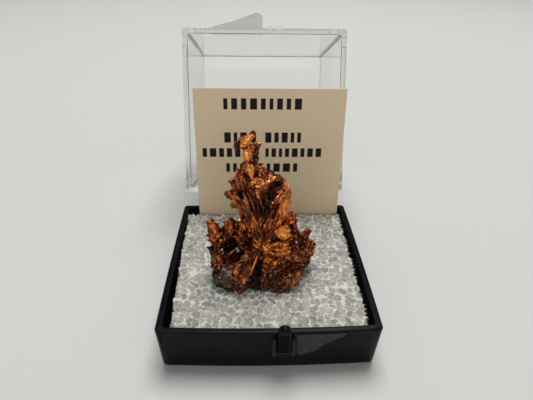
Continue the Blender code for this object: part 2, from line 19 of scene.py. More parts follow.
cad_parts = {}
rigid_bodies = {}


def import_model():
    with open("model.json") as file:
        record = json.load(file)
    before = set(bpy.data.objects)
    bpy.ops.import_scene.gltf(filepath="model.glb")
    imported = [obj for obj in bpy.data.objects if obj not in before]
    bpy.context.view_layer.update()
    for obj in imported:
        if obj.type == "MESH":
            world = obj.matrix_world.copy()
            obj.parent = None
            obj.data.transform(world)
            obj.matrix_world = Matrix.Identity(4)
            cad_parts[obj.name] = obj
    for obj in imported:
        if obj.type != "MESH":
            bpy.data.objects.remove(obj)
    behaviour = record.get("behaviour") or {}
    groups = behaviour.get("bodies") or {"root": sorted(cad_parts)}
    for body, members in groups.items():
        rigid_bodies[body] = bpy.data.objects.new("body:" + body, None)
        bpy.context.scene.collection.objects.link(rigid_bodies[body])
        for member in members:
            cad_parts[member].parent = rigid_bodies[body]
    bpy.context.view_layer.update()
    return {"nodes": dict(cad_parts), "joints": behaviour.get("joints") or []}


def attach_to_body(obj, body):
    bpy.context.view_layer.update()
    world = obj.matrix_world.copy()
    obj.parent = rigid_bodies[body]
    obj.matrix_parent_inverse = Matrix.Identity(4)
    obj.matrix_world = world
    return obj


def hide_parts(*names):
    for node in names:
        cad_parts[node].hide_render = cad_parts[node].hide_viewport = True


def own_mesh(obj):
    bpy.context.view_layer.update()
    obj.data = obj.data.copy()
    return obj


LOG = logging.getLogger("display_box")
MM = 0.001
HINGE_Y = 19.0
HINGE_Z = 9.0
FRONT_BOW = 0.5
SIDE_BOW = 0.14

Point = tuple[float, float, float]
Colour = tuple[float, float, float]


class Body(Enum):
    """The rigid bodies that pieces ride on."""

    BASE = "base"
    LID = "lid"


class Slot(Enum):
    """The material slots of the record."""

    BLACK = "black_plastic"
    CLEAR = "clear_plastic"
    FOAM = "foam"
    CARD = "card"
    FILM = "film"
    COPPER = "copper"


# Noise over arrays of points


def hashed(cells: np.ndarray, seed: int) -> np.ndarray:
    """Gives each whole-numbered cell a fixed number from 0 to 1.

    Args:
        cells: Whole numbers, three to a row.
        seed: Picks one of many such fields.

    Returns:
        One number for each row.
    """
    c = cells.astype(np.int64)
    n = c[..., 0] * 374761393 + c[..., 1] * 668265263 + c[..., 2] * 1440662683
    n = n + np.int64(seed) * 1274126177
    n = (n ^ (n >> 13)) * 1103515245
    n = n ^ (n >> 16)
    return (n & 0xFFFFFF) / float(0xFFFFFF)


def soft_noise(points: np.ndarray, seed: int) -> np.ndarray:
    """Smooth noise from -1 to 1 with a wavelength of about two units.

    Args:
        points: Places, three numbers to a row.
        seed: Picks the field.

    Returns:
        One value for each place.
    """
    low = np.floor(points)
    t = points - low
    t = t * t * (3.0 - 2.0 * t)
    total = np.zeros(len(points))
    for dx in (0, 1):
        for dy in (0, 1):
            for dz in (0, 1):
                share = (t[:, 0] if dx else 1 - t[:, 0]) * (t[:, 1] if dy else 1 - t[:, 1])
                share = share * (t[:, 2] if dz else 1 - t[:, 2])
                total += share * hashed(low + np.array([dx, dy, dz]), seed)
    return total * 2.0 - 1.0


def layered_noise(points: np.ndarray, seed: int, layers: int = 3) -> np.ndarray:
    """Adds layers of soft noise, each twice as fine and half as strong."""
    total = np.zeros(len(points))
    for layer in range(layers):
        total += soft_noise(points * 2.0**layer, seed + layer) / 2.0**layer
    return total


def cell_noise(points: np.ndarray, seed: int, flat: bool = False) -> tuple[np.ndarray, ...]:
    """Distances to the nearest points of a jittered lattice.

    Args:
        points: Places, three numbers to a row.
        seed: Picks the lattice.
        flat: Looks only at cells in the plane of the first two axes.

    Returns:
        The nearest distance, the second nearest, and a number that is the same over a cell.
    """
    home = np.floor(points)
    first = np.full(len(points), 9.0)
    second = np.full(len(points), 9.0)
    label = np.zeros(len(points))
    steps = (-1, 0, 1)
    for dx in steps:
        for dy in steps:
            for dz in (0,) if flat else steps:
                cell = home + np.array([dx, dy, dz])
                spot = np.stack([hashed(cell, seed + k) for k in (1, 2, 3)], axis=1)
                away = cell + 0.1 + 0.8 * spot - points
                if flat:
                    away[:, 2] = 0.0
                distance = np.linalg.norm(away, axis=1)
                nearer = distance < first
                second = np.where(nearer, first, np.minimum(second, distance))
                label = np.where(nearer, hashed(cell, seed + 4), label)
                first = np.where(nearer, distance, first)
    return first, second, label


def ramp(values: np.ndarray, low: float, high: float) -> np.ndarray:
    """A smooth step from 0 at low to 1 at high."""
    t = np.clip((values - low) / (high - low), 0.0, 1.0)
    return t * t * (3.0 - 2.0 * t)


# Shader maths


class Wire:
    """A shader socket that takes part in Python expressions."""

    def __init__(self, paint: "Paint", socket: bpy.types.NodeSocket) -> None:
        """Keeps the socket with the paint that it belongs to."""
        self.paint = paint
        self.socket = socket

    def __add__(self, other: Any) -> "Wire":
        """self + other."""
        return self.paint.maths("ADD", self, other)

    def __radd__(self, other: Any) -> "Wire":
        """other + self."""
        return self.paint.maths("ADD", other, self)

    def __sub__(self, other: Any) -> "Wire":
        """self - other."""
        return self.paint.maths("SUBTRACT", self, other)

    def __rsub__(self, other: Any) -> "Wire":
        """other - self."""
        return self.paint.maths("SUBTRACT", other, self)

    def __mul__(self, other: Any) -> "Wire":
        """self * other."""
        return self.paint.maths("MULTIPLY", self, other)

    def __rmul__(self, other: Any) -> "Wire":
        """other * self."""
        return self.paint.maths("MULTIPLY", other, self)

    def __pow__(self, other: Any) -> "Wire":
        """self ** other."""
        return self.paint.maths("POWER", self, other)


class Paint:
    """A node material that is built from expressions."""

    def __init__(self, name: str) -> None:
        """Starts an empty material with its output.

        Args:
            name: The material's name.
        """
        self.material = bpy.data.materials.new(name)
        self.material.use_nodes = True
        self.tree = self.material.node_tree
        self.tree.nodes.clear()
        self.output = self.tree.nodes.new("ShaderNodeOutputMaterial")

    def node(self, kind: str, settings: dict[str, Any], inputs: dict[Any, Any]) -> bpy.types.Node:
        """Adds one node.

        Args:
            kind: The node's type.
            settings: Its settings, set first. "stops" are a colour ramp's stops.
            inputs: A value or a wire for each socket, by name or number.

        Returns:
            The node.
        """
        made = self.tree.nodes.new(kind)
        for key, value in settings.items():
            if key == "stops":
                self._set_stops(made.color_ramp, value)
            else:
                setattr(made, key, value)
        for key, value in inputs.items():
            if isinstance(value, Wire):
                self.tree.links.new(value.socket, made.inputs[key])
            else:
                made.inputs[key].default_value = value
        return made

    @staticmethod
    def _set_stops(band: bpy.types.ColorRamp, stops: Sequence[tuple[float, Colour]]) -> None:
        """Gives a colour ramp its stops.

        Args:
            band: The ramp.
            stops: The place from 0 to 1 and the colour of each stop.
        """
        while len(band.elements) < len(stops):
            band.elements.new(1.0)
        for element, (place, colour) in zip(band.elements, stops):
            element.position = place
            element.color = (*colour, 1.0)

    def maths(self, operation: str, first: Any, second: Any, clamp: bool = False) -> Wire:
        """A Math node on two numbers or wires."""
        settings = {"operation": operation, "use_clamp": clamp}
        return Wire(self, self.node("ShaderNodeMath", settings, {0: first, 1: second}).outputs[0])

    def clamped(self, value: Wire) -> Wire:
        """The value held between 0 and 1."""
        return self.maths("ADD", value, 0.0, clamp=True)

    def step(self, value: Wire, low: float, high: float) -> Wire:
        """0 below low, 1 above high, smooth between."""
        settings = {"interpolation_type": "SMOOTHSTEP"}
        inputs = {"Value": value, "From Min": low, "From Max": high}
        return Wire(self, self.node("ShaderNodeMapRange", settings, inputs).outputs[0])

    def place(self, scale: Point = (1.0, 1.0, 1.0)) -> Wire:
        """The object's own coordinates in millimetres, stretched by scale."""
        source = self.node("ShaderNodeTexCoord", {}, {})
        factors = tuple(value / MM for value in scale)
        inputs = {0: Wire(self, source.outputs["Object"]), 1: factors}
        return Wire(self, self.node("ShaderNodeVectorMath", {"operation": "MULTIPLY"}, inputs).outputs[0])

    def along(self, axis: int) -> Wire:
        """One of the object's own coordinates in millimetres."""
        split = self.node("ShaderNodeSeparateXYZ", {}, {0: self.place()})
        return Wire(self, split.outputs[axis])

    def noise(self, at: Wire, scale: float, detail: float = 3.0, roughness: float = 0.55) -> Wire:
        """Fractal noise from 0 to 1, with scale in waves to the millimetre."""
        inputs = {"Vector": at, "Scale": scale, "Detail": detail, "Roughness": roughness}
        return Wire(self, self.node("ShaderNodeTexNoise", {}, inputs).outputs[0])

    def cells(self, at: Wire, scale: float, feature: str = "F1") -> Wire:
        """Distances in a cell pattern, with scale in cells to the millimetre."""
        made = self.node("ShaderNodeTexVoronoi", {"feature": feature}, {"Vector": at, "Scale": scale})
        return Wire(self, made.outputs["Distance"])

    def attribute(self, name: str) -> list[Wire]:
        """The three channels of a colour stored on the mesh."""
        source = self.node("ShaderNodeAttribute", {"attribute_name": name}, {})
        split = self.node("ShaderNodeSeparateColor", {}, {0: Wire(self, source.outputs["Color"])})
        return [Wire(self, split.outputs[k]) for k in range(3)]

    def mix(self, factor: Any, first: Any, second: Any) -> Wire:
        """A colour between two colours."""
        inputs = {0: factor, 6: self._rgba(first), 7: self._rgba(second)}
        return Wire(self, self.node("ShaderNodeMix", {"data_type": "RGBA"}, inputs).outputs[2])

    @staticmethod
    def _rgba(colour: Any) -> Any:
        """A colour with its alpha, or the wire as it is."""
        return colour if isinstance(colour, Wire) else (*colour, 1.0)

    def band(self, value: Wire, stops: Sequence[tuple[float, Colour]]) -> Wire:
        """A colour ramp over a value."""
        return Wire(self, self.node("ShaderNodeValToRGB", {"stops": stops}, {0: value}).outputs[0])

    def vector(self, x: Any, y: Any, z: Any) -> Wire:
        """A vector from three numbers or wires."""
        return Wire(self, self.node("ShaderNodeCombineXYZ", {}, {0: x, 1: y, 2: z}).outputs[0])

    def vectors(self, operation: str, first: Any, second: Any) -> Wire:
        """A Vector Math node on two vectors."""
        made = self.node("ShaderNodeVectorMath", {"operation": operation}, {0: first, 1: second})
        return Wire(self, made.outputs[0])

    def scaled(self, vector: Wire, factor: Any) -> Wire:
        """A vector times a number or wire."""
        made = self.node("ShaderNodeVectorMath", {"operation": "SCALE"}, {0: vector, "Scale": factor})
        return Wire(self, made.outputs[0])

    def blend(self, factor: Any, first: Any, second: Any) -> Wire:
        """A number between two numbers."""
        made = self.node("ShaderNodeMix", {"data_type": "FLOAT"}, {0: factor, 2: first, 3: second})
        return Wire(self, made.outputs[0])

    def chips(self, at: Wire, scale: float) -> tuple[Wire, Wire]:
        """Flat chips of a crystalline surface.

        Args:
            at: Where on the surface.
            scale: Chips to the millimetre.

        Returns:
            A number and a vector about zero, each the same all over one chip.
        """
        made = self.node("ShaderNodeTexVoronoi", {"feature": "F1"}, {"Vector": at, "Scale": scale})
        colour = Wire(self, made.outputs["Color"])
        split = self.node("ShaderNodeSeparateColor", {}, {0: colour})
        return Wire(self, split.outputs[0]), self.vectors("SUBTRACT", colour, (0.5, 0.5, 0.5))

    def tilted(self, leans: Sequence[tuple[Wire, Any]]) -> Wire:
        """The surface's own facing, leant by vectors with their weights.

        Args:
            leans: Vectors with their weights.

        Returns:
            The leant facing.
        """
        source = self.node("ShaderNodeNewGeometry", {}, {})
        facing = Wire(self, source.outputs["Normal"])
        for lean, weight in leans:
            facing = self.vectors("ADD", facing, self.scaled(lean, weight))
        return self.vectors("NORMALIZE", facing, (0.0, 0.0, 0.0))

    def bump(
        self, height: Wire, depth_mm: float, strength: float = 1.0, facing: Wire | None = None
    ) -> Wire:
        """A Bump node for a height from 0 to 1, over the surface or over another facing.

        Args:
            height: The height.
            depth_mm: How deep its full range is.
            strength: How much of it is used.
            facing: Another facing, or None.

        Returns:
            The facing that it gives.
        """
        inputs: dict[str, Any] = {"Height": height, "Distance": depth_mm * MM, "Strength": strength}
        if facing is not None:
            inputs["Normal"] = facing
        return Wire(self, self.node("ShaderNodeBump", {}, inputs).outputs[0])

    def finish(self, sockets: dict[str, Any]) -> bpy.types.Material:
        """Closes the material with a Principled shader.

        Args:
            sockets: A value or wire for each of the shader's sockets.

        Returns:
            The material.
        """
        inputs = {key: self._whole(key, value) for key, value in sockets.items()}
        shader = self.node("ShaderNodeBsdfPrincipled", {}, inputs)
        self.tree.links.new(shader.outputs[0], self.output.inputs["Surface"])
        return self.material

    @staticmethod
    def _whole(key: str, value: Any) -> Any:
        """Adds the alpha that a colour socket takes."""
        is_colour = key.endswith(("Color", "Tint")) and not isinstance(value, Wire)
        return (*value, 1.0) if is_colour else value


# Finishes


@dataclass(frozen=True)
class MouldedBlack:
    """Black moulded polystyrene with a soft sheen, rubbed edges and some dust."""

    colour: Colour = (0.0022, 0.0026, 0.0034)
    rubbed: Colour = (0.0065, 0.0072, 0.0085)
    dust: Colour = (0.10, 0.098, 0.092)
    roughness: float = 0.36

    def material(self, name: str = "moulded black plastic", shine: float = 1.0) -> bpy.types.Material:
        """Builds the node material.

        Args:
            name: The material's name.
            shine: Scales its reflection.

        Returns:
            The material.
        """
        paint = Paint(name)
        at = paint.place()
        cloud = paint.noise(at, 0.16, 4.0)
        grain = paint.noise(at, 5.5, 3.0)
        drag = paint.noise(paint.place((0.35, 0.35, 3.4)), 1.2, 4.0, 0.7)
        specks = paint.step(paint.noise(at, 2.9, 4.0, 0.72), 0.665, 0.76)
        colour = paint.mix(paint.step(cloud, 0.38, 0.72) * 0.6, self.colour, self.rubbed)
        colour = paint.mix(specks * 0.55, colour, self.dust)
        roughness = self.roughness + 0.22 * (cloud - 0.5) + 0.16 * (drag - 0.5) + 0.25 * specks
        relief = 0.5 * grain + 0.5 * drag
        return paint.finish(
            {
                "Base Color": colour,
                "Roughness": paint.clamped(roughness),
                "Normal": paint.bump(relief, 0.02, 0.35),
                "IOR": 1.5,
                "Specular IOR Level": 0.10 * shine,
            }
        )


@dataclass(frozen=True)
class ClearLid:
    """Clear polystyrene, a little yellow with age, with hairline scratches."""

    tint: Colour = (0.992, 0.99, 0.98)
    absorbs: Colour = (0.90, 0.875, 0.79)
    density: float = 30.0
    roughness: float = 0.065

    def material(self) -> bpy.types.Material:
        """Builds the node material.

        Returns:
            The material.
        """
        paint = Paint("clear polystyrene")
        at = paint.place()
        smears = paint.step(paint.noise(at, 0.22, 3.0), 0.5, 0.8)
        drag = paint.noise(paint.place((4.0, 0.4, 0.4)), 1.6, 3.0, 0.7)
        scratches = paint.step(drag, 0.66, 0.74)
        roughness = self.roughness + 0.05 * smears + 0.12 * scratches
        made = paint.finish(
            {
                "Base Color": self.tint,
                "Roughness": paint.clamped(roughness),
                "Normal": paint.bump(drag, 0.01, 0.03),
                "IOR": 1.4,
                "Transmission Weight": 1.0,
            }
        )
        inside = {"Color": (*self.absorbs, 1.0), "Density": self.density}
        body = paint.node("ShaderNodeVolumeAbsorption", {}, inside)
        paint.tree.links.new(body.outputs[0], paint.output.inputs["Volume"])
        return made


@dataclass(frozen=True)
class OpenFoam:
    """White open-cell foam: bright cell walls over cells greyed by painted shade, painted shade on the
    sides and strands, and stains near the copper.
    """

    wall: Colour = (0.86, 0.825, 0.745)
    cell: Colour = (0.225, 0.232, 0.212)
    stain: Colour = (0.22, 0.33, 0.24)
    shadow: Colour = (0.5, 0.49, 0.45)
    roughness: float = 0.85

    def material(self) -> bpy.types.Material:
        """Builds the node material over the stored cell pattern.

        Returns:
            The material.
        """
        paint = Paint("open-cell foam")
        depth, stained, shade = paint.attribute("pattern")
        at = paint.place()
        fibres = paint.noise(paint.place((1.0, 2.2, 1.0)), 3.2, 4.0, 0.7)
        web = paint.cells(at, 1.9, "DISTANCE_TO_EDGE")
        strands = 1.0 - paint.step(web, 0.015, 0.12)
        # painted shade: the cells darken with their depth, and below, the shade channel darkens the pad's
        # sides and torn strands
        dark = paint.clamped(depth * (1.2 - 0.6 * fibres) - 0.14 * strands)
        colour = paint.mix(dark, self.wall, self.cell)
        colour = paint.mix(stained * 0.7, colour, self.stain)
        colour = paint.mix(shade * 0.4, colour, self.shadow)
        return paint.finish(
            {
                "Base Color": colour,
                "Roughness": self.roughness,
                "Normal": paint.bump(0.6 * fibres + 0.4 * strands, 0.12, 0.6),
                "Specular IOR Level": 0.35,
            }
        )


@dataclass(frozen=True)
class CreamCard:
    """Matt cream card stock with paper fibres and a darker cut edge."""

    colour: Colour = (0.875, 0.715, 0.48)
    fibre: Colour = (0.81, 0.65, 0.43)
    roughness: float = 0.78

    def material(self) -> bpy.types.Material:
        """Builds the node material.

        Returns:
            The material.
        """
        paint = Paint("cream card")
        at = paint.place()
        cloud = paint.noise(at, 0.12, 3.0)
        tooth = paint.noise(at, 7.5, 3.0, 0.7)
        fibres = paint.noise(paint.place((0.7, 1.0, 3.0)), 3.0, 4.0, 0.7)
        share = paint.clamped(0.55 * paint.step(fibres, 0.42, 0.66) + 0.5 * (cloud - 0.4))
        return paint.finish(
            {
                "Base Color": paint.mix(share, self.colour, self.fibre),
                "Roughness": paint.clamped(self.roughness + 0.2 * (tooth - 0.5)),
                "Normal": paint.bump(0.6 * tooth + 0.4 * fibres, 0.02, 0.5),
                "Specular IOR Level": 0.3,
            }
        )


@dataclass(frozen=True)
class PrintInk:
    """Dark print that lies slightly unevenly on card."""

    colour: Colour = (0.012, 0.010, 0.009)
    worn_or_lit: Colour = (0.05, 0.04, 0.03)

    def material(self) -> bpy.types.Material:
        """Builds the node material.

        Returns:
            The material.
        """
        paint = Paint("print ink")
        uneven = paint.noise(paint.place(), 4.5, 4.0, 0.7)
        return paint.finish(
            {
                "Base Color": paint.mix(paint.step(uneven, 0.5, 0.75), self.colour, self.worn_or_lit),
                "Roughness": paint.clamped(0.45 + 0.3 * uneven),
                "Normal": paint.bump(uneven, 0.01, 0.3),
                "Specular IOR Level": 0.15,
            }
        )


@dataclass(frozen=True)
class DustyFilm:
    """Thin seal film: cloudy, with dust caught in its glue."""

    colour: Colour = (0.71, 0.69, 0.65)
    dust: Colour = (0.88, 0.86, 0.83)
    opacity: float = 0.4
    roughness: float = 0.5

    def material(self, name: str) -> bpy.types.Material:
        """Builds the node material under a name of its own.

        Args:
            name: The material's name.

        Returns:
            The material.
        """
        paint = Paint(name)
        at = paint.place()
        cloud = paint.noise(at, 0.9, 4.0, 0.65)
        specks = paint.step(paint.noise(at, 3.6, 3.0, 0.7), 0.6, 0.7)
        opacity = self.opacity + 0.35 * (cloud - 0.5) + 0.3 * specks
        return paint.finish(
            {
                "Base Color": paint.mix(specks * 0.7, self.colour, self.dust),
                "Roughness": paint.clamped(self.roughness + 0.3 * (cloud - 0.5)),
                "Alpha": paint.clamped(opacity),
                "Normal": paint.bump(cloud, 0.06, 0.5),
            }
        )


@dataclass(frozen=True)
class TarnishedCopper:
    """Native copper from black-brown tarnish to bright orange, with painted shade in hollows and gaps,
    painted highlights and glints, and grey stone in places.
    """

    shades: tuple[tuple[float, Colour], ...] = (
        (0.0, (0.012, 0.0075, 0.007)),
        (0.2, (0.052, 0.019, 0.013)),
        (0.4, (0.18, 0.052, 0.025)),
        (0.6, (0.52, 0.155, 0.050)),
        (0.8, (0.93, 0.30, 0.062)),
        (1.0, (1.0, 0.47, 0.125)),
    )
    stone: Colour = (0.085, 0.047, 0.034)
    stone_light: Colour = (0.36, 0.30, 0.25)
    earth: Colour = (0.15, 0.082, 0.055)
    earth_dark: Colour = (0.022, 0.012, 0.009)
    verdigris: Colour = (0.085, 0.095, 0.040)

    def material(self) -> bpy.types.Material:
        """Builds the node material over the stored masks.

        Returns:
            The material.
        """
        paint = Paint("tarnished copper")
        polish_and_light, stony, hollow = paint.attribute("finish")
        turn, reach, line = paint.attribute("flow")
        green, earthy, frost = paint.attribute("stain")
        at = paint.place()
        blotch = paint.noise(at, 0.75, 5.0, 0.65)
        grain = paint.noise(at, 1.7, 4.0, 0.62)
        drawn = paint.noise(paint.vector(turn * 24.0, reach * 0.17, green), 1.0, 4.0, 0.6)
        texture = paint.blend(line, grain, drawn)
        crisp = paint.step(texture, 0.40, 0.60)
        chips, large = paint.chips(at, 1.7)
        flecks, small = paint.chips(at, 3.4)
        level = polish_and_light - 0.03 * line
        level = level + (0.6 - 0.3 * line) * (blotch - 0.5) + (0.36 - 0.18 * line) * (crisp - 0.5)
        level = level + (0.26 - 0.12 * line) * (chips - 0.5) + (0.22 - 0.14 * line) * (flecks - 0.5)
        # painted shade: the copper's level, and with it its colour, is lowered in the skin's hollows
        level = level - (0.52 - 0.12 * line) * hollow
        # painted highlight: small bright glints are added to the level on some flecks where the copper is
        # already bright
        level = paint.clamped(level + 0.3 * paint.step(flecks, 0.88, 0.94) * paint.step(level, 0.35, 0.55))
        colour = paint.band(level, self.shades)
        dull = paint.clamped(earthy * (0.3 + 1.4 * (1.0 - level)))
        soil = paint.mix(crisp * (0.4 + 1.2 * (flecks - 0.3)), self.earth_dark, self.earth)
        colour = paint.mix(dull * 0.5, colour, soil)
        ragged = stony + 0.9 * (blotch - 0.5) + 0.3 * (chips - 0.5)
        rocky = paint.step(ragged, 0.40, 0.56)
        pale = paint.step(grain + 0.25 * (flecks - 0.5) + 0.2 * frost, 0.52, 0.68)
        rock = paint.mix(pale, self.stone, self.stone_light)
        colour = paint.mix(rocky, colour, rock)
        colour = paint.mix(paint.clamped(green * (0.4 + blotch)) * 0.7, colour, self.verdigris)
        metal = (1.0 - 0.96 * rocky) * (1.0 - 0.7 * green) * (1.0 - 0.5 * dull)
        roughness = 0.46 - 0.22 * level + 0.22 * hollow + 0.16 * (flecks - 0.5) + 0.3 * rocky
        uneven = paint.clamped(1.25 - 0.85 * polish_and_light)
        wide = (large, uneven * (0.85 - 0.6 * line))
        narrow = (small, uneven * (0.65 - 0.45 * line))
        facing = paint.tilted((wide, narrow))
        height = texture * (1.0 - 0.5 * line) * uneven
        return paint.finish(
            {
                "Base Color": colour,
                "Metallic": paint.clamped(metal),
                "Roughness": paint.clamped(roughness),
                "Normal": paint.bump(height, 0.18, 0.8, facing),
                "IOR": 1.5,
                "Specular IOR Level": 0.2,
            }
        )


@dataclass(frozen=True)
class QuartzGlass:
    """Small milky quartz grains."""

    colour: Colour = (0.80, 0.78, 0.76)
    cloudy: Colour = (0.55, 0.50, 0.46)

    def material(self) -> bpy.types.Material:
        """Builds the node material.

        Returns:
            The material.
        """
        paint = Paint("milky quartz")
        cloud = paint.noise(paint.place(), 1.8, 3.0)
        return paint.finish(
            {
                "Base Color": paint.mix(paint.step(cloud, 0.4, 0.7), self.colour, self.cloudy),
                "Roughness": paint.clamped(0.1 + 0.2 * cloud),
                "Normal": paint.bump(cloud, 0.03, 0.4),
                "Coat Weight": 0.6,
                "Transmission Weight": 0.25,
            }
        )


# Meshes


@dataclass
class Shell:
    """Points and faces in millimetres that grow form by form."""

    points: list[np.ndarray] = field(default_factory=list)
    faces: list[tuple[int, ...]] = field(default_factory=list)
    count: int = 0

    def add(self, points: np.ndarray, faces: Iterable[Sequence[int]]) -> None:
        """Adds one closed form.

        Args:
            points: Its points, three numbers to a row.
            faces: Its faces, as numbers of its own points.
        """
        self.points.append(np.asarray(points, float))
        self.faces.extend(tuple(self.count + int(i) for i in face) for face in faces)
        self.count += len(points)

    def add_rings(self, rings: Sequence[np.ndarray]) -> None:
        """Adds a skin through rings of equal count, closed with a face at each end.

        Args:
            rings: Points of each ring, all in the same turn.
        """
        n = len(rings[0])
        faces: list[Sequence[int]] = [tuple(range(n))[::-1]]
        for k in range(len(rings) - 1):
            low, high = k * n, (k + 1) * n
            faces += [(low + i, low + (i + 1) % n, high + (i + 1) % n, high + i) for i in range(n)]
        faces.append(tuple(range((len(rings) - 1) * n, len(rings) * n)))
        self.add(np.concatenate(rings), faces)

    def array(self) -> np.ndarray:
        """All points as one array."""
        return np.concatenate(self.points)

    def to_object(self, name: str, material: bpy.types.Material, sharp_deg: float) -> bpy.types.Object:
        """Makes the object.

        Args:
            name: The piece's name.
            material: What dresses it.
            sharp_deg: Edges that turn more than this stay sharp; 0 shades it flat.

        Returns:
            The object, in metres.
        """
        mesh = bpy.data.meshes.new(name)
        mesh.from_pydata((self.array() * MM).tolist(), [], self.faces)
        outward(mesh)
        return dressed(name, mesh, material, sharp_deg)


def outward(mesh: bpy.types.Mesh) -> None:
    """Turns every face of a closed mesh outward.

    Args:
        mesh: The mesh to correct.
    """
    bm = bmesh.new()
    bm.from_mesh(mesh)
    bmesh.ops.recalc_face_normals(bm, faces=bm.faces)
    bm.to_mesh(mesh)
    bm.free()


def dressed(
    name: str, mesh: bpy.types.Mesh, material: bpy.types.Material, sharp_deg: float
) -> bpy.types.Object:
    """Puts a mesh in the scene with its material and shading.

    Args:
        name: The piece's name.
        mesh: Its mesh.
        material: What dresses it.
        sharp_deg: Edges that turn more stay sharp; 0 shades it flat.

    Returns:
        The object.
    """
    mesh.materials.clear()
    mesh.materials.append(material)
    if sharp_deg > 0:
        mesh.shade_smooth()
        mesh.set_sharp_from_angle(angle=math.radians(sharp_deg))
    else:
        mesh.shade_flat()
    obj = bpy.data.objects.new(name, mesh)
    bpy.context.scene.collection.objects.link(obj)
    return obj


def attach(obj: bpy.types.Object, body: Body, slot: Slot, *nodes: str) -> bpy.types.Object:
    """Rides a piece on its body and hides the nodes that it stands for.

    Args:
        obj: The piece.
        body: The body that it moves with.
        slot: The material slot of the record; not used.
        nodes: Solids that it replaces.

    Returns:
        The piece.
    """
    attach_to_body(obj, body.value)
    if nodes:
        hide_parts(*nodes)
    triangles = sum(len(face.vertices) - 2 for face in obj.data.polygons)
    LOG.info("%s: %d triangles on %s", obj.name, triangles, body.value)
    return obj


def store_colours(mesh: bpy.types.Mesh, name: str, columns: Sequence[np.ndarray]) -> None:
    """Stores three values for each point as a colour on the mesh.

    Args:
        mesh: The mesh to mark.
        name: The colour's name.
        columns: Up to three arrays of values.
    """
    values = np.ones((len(mesh.vertices), 4), np.float32)
    for k, column in enumerate(columns):
        values[:, k] = column
    layer = mesh.color_attributes.new(name=name, type="FLOAT_COLOR", domain="POINT")
    layer.data.foreach_set("color", values.ravel())


def points_of(mesh: bpy.types.Mesh) -> np.ndarray:
    """The mesh's points in millimetres."""
    flat = np.empty(len(mesh.vertices) * 3, np.float32)
    mesh.vertices.foreach_get("co", flat)
    return flat.reshape(-1, 3).astype(float) / MM


def normals_of(mesh: bpy.types.Mesh) -> np.ndarray:
    """The direction in which each point's surface faces."""
    flat = np.empty(len(mesh.vertices) * 3, np.float32)
    mesh.vertices.foreach_get("normal", flat)
    return flat.reshape(-1, 3).astype(float)


def set_points(mesh: bpy.types.Mesh, points: np.ndarray) -> None:
    """Moves the mesh's points to places in millimetres."""
    mesh.vertices.foreach_set("co", (points * MM).astype(np.float32).ravel())
    mesh.update()


def relaxed(mesh: bpy.types.Mesh, points: np.ndarray, rounds: int, share: float) -> np.ndarray:
    """Pulls each point towards its neighbours.

    Args:
        mesh: Gives the edges.
        points: Where the points are now.
        rounds: How often.
        share: How far each round, from 0 to 1.

    Returns:
        The calmer points.
    """
    ends = np.empty(len(mesh.edges) * 2, np.int32)
    mesh.edges.foreach_get("vertices", ends)
    a, b = ends.reshape(-1, 2).T
    n = len(points)
    degree = np.maximum(np.bincount(a, minlength=n) + np.bincount(b, minlength=n), 1)
    for _ in range(rounds):
        total = np.zeros_like(points)
        for axis in range(3):
            total[:, axis] = np.bincount(a, points[b, axis], n) + np.bincount(b, points[a, axis], n)
        points = points + share * (total / degree[:, None] - points)
    return points


def fused(mesh: bpy.types.Mesh, voxel_mm: float) -> bpy.types.Mesh:
    """One closed skin over all the closed forms of a mesh.

    Args:
        mesh: Closed forms that may overlap.
        voxel_mm: How fine the skin is.

    Returns:
        The skin.
    """
    helper = bpy.data.objects.new("heap", mesh)
    bpy.context.scene.collection.objects.link(helper)
    wrap = helper.modifiers.new("skin", "REMESH")
    wrap.mode = "VOXEL"
    wrap.voxel_size = voxel_mm * MM
    bpy.context.view_layer.update()
    graph = bpy.context.evaluated_depsgraph_get()
    skin = bpy.data.meshes.new_from_object(helper.evaluated_get(graph))
    bpy.data.objects.remove(helper)
    return skin


def united(mesh: bpy.types.Mesh, parts: Sequence[bpy.types.Mesh]) -> bpy.types.Mesh:
    """One closed mesh of a closed form and the forms that are joined to it.

    Args:
        mesh: The main form.
        parts: The forms to join to it.

    Returns:
        The whole.
    """
    main_form = bpy.data.objects.new("heap", mesh)
    bpy.context.scene.collection.objects.link(main_form)
    helpers = [main_form]
    for part in parts:
        other = bpy.data.objects.new("heap_part", part)
        bpy.context.scene.collection.objects.link(other)
        join = main_form.modifiers.new("join", "BOOLEAN")
        join.operation = "UNION"
        join.solver = "EXACT"
        join.object = other
        helpers.append(other)
    bpy.context.view_layer.update()
    graph = bpy.context.evaluated_depsgraph_get()
    whole = bpy.data.meshes.new_from_object(main_form.evaluated_get(graph))
    for helper in helpers:
        bpy.data.objects.remove(helper)
    return whole


def opened(points: np.ndarray, open_deg: float) -> np.ndarray:
    """Turns points of the closed lid about its hinge to where they are when it stands open."""
    angle = -math.radians(open_deg)
    c, s = math.cos(angle), math.sin(angle)
    y, z = points[:, 1] - HINGE_Y, points[:, 2] - HINGE_Z
    return np.stack([points[:, 0], HINGE_Y + y * c - z * s, HINGE_Z + y * s + z * c], axis=1)


def wall_bow(along: np.ndarray, most: float) -> np.ndarray:
    """How far a moulded wall of the tray bows outward at places along it."""
    return most * np.clip(1.0 - (along / 17.5) ** 2, 0.0, 1.0)


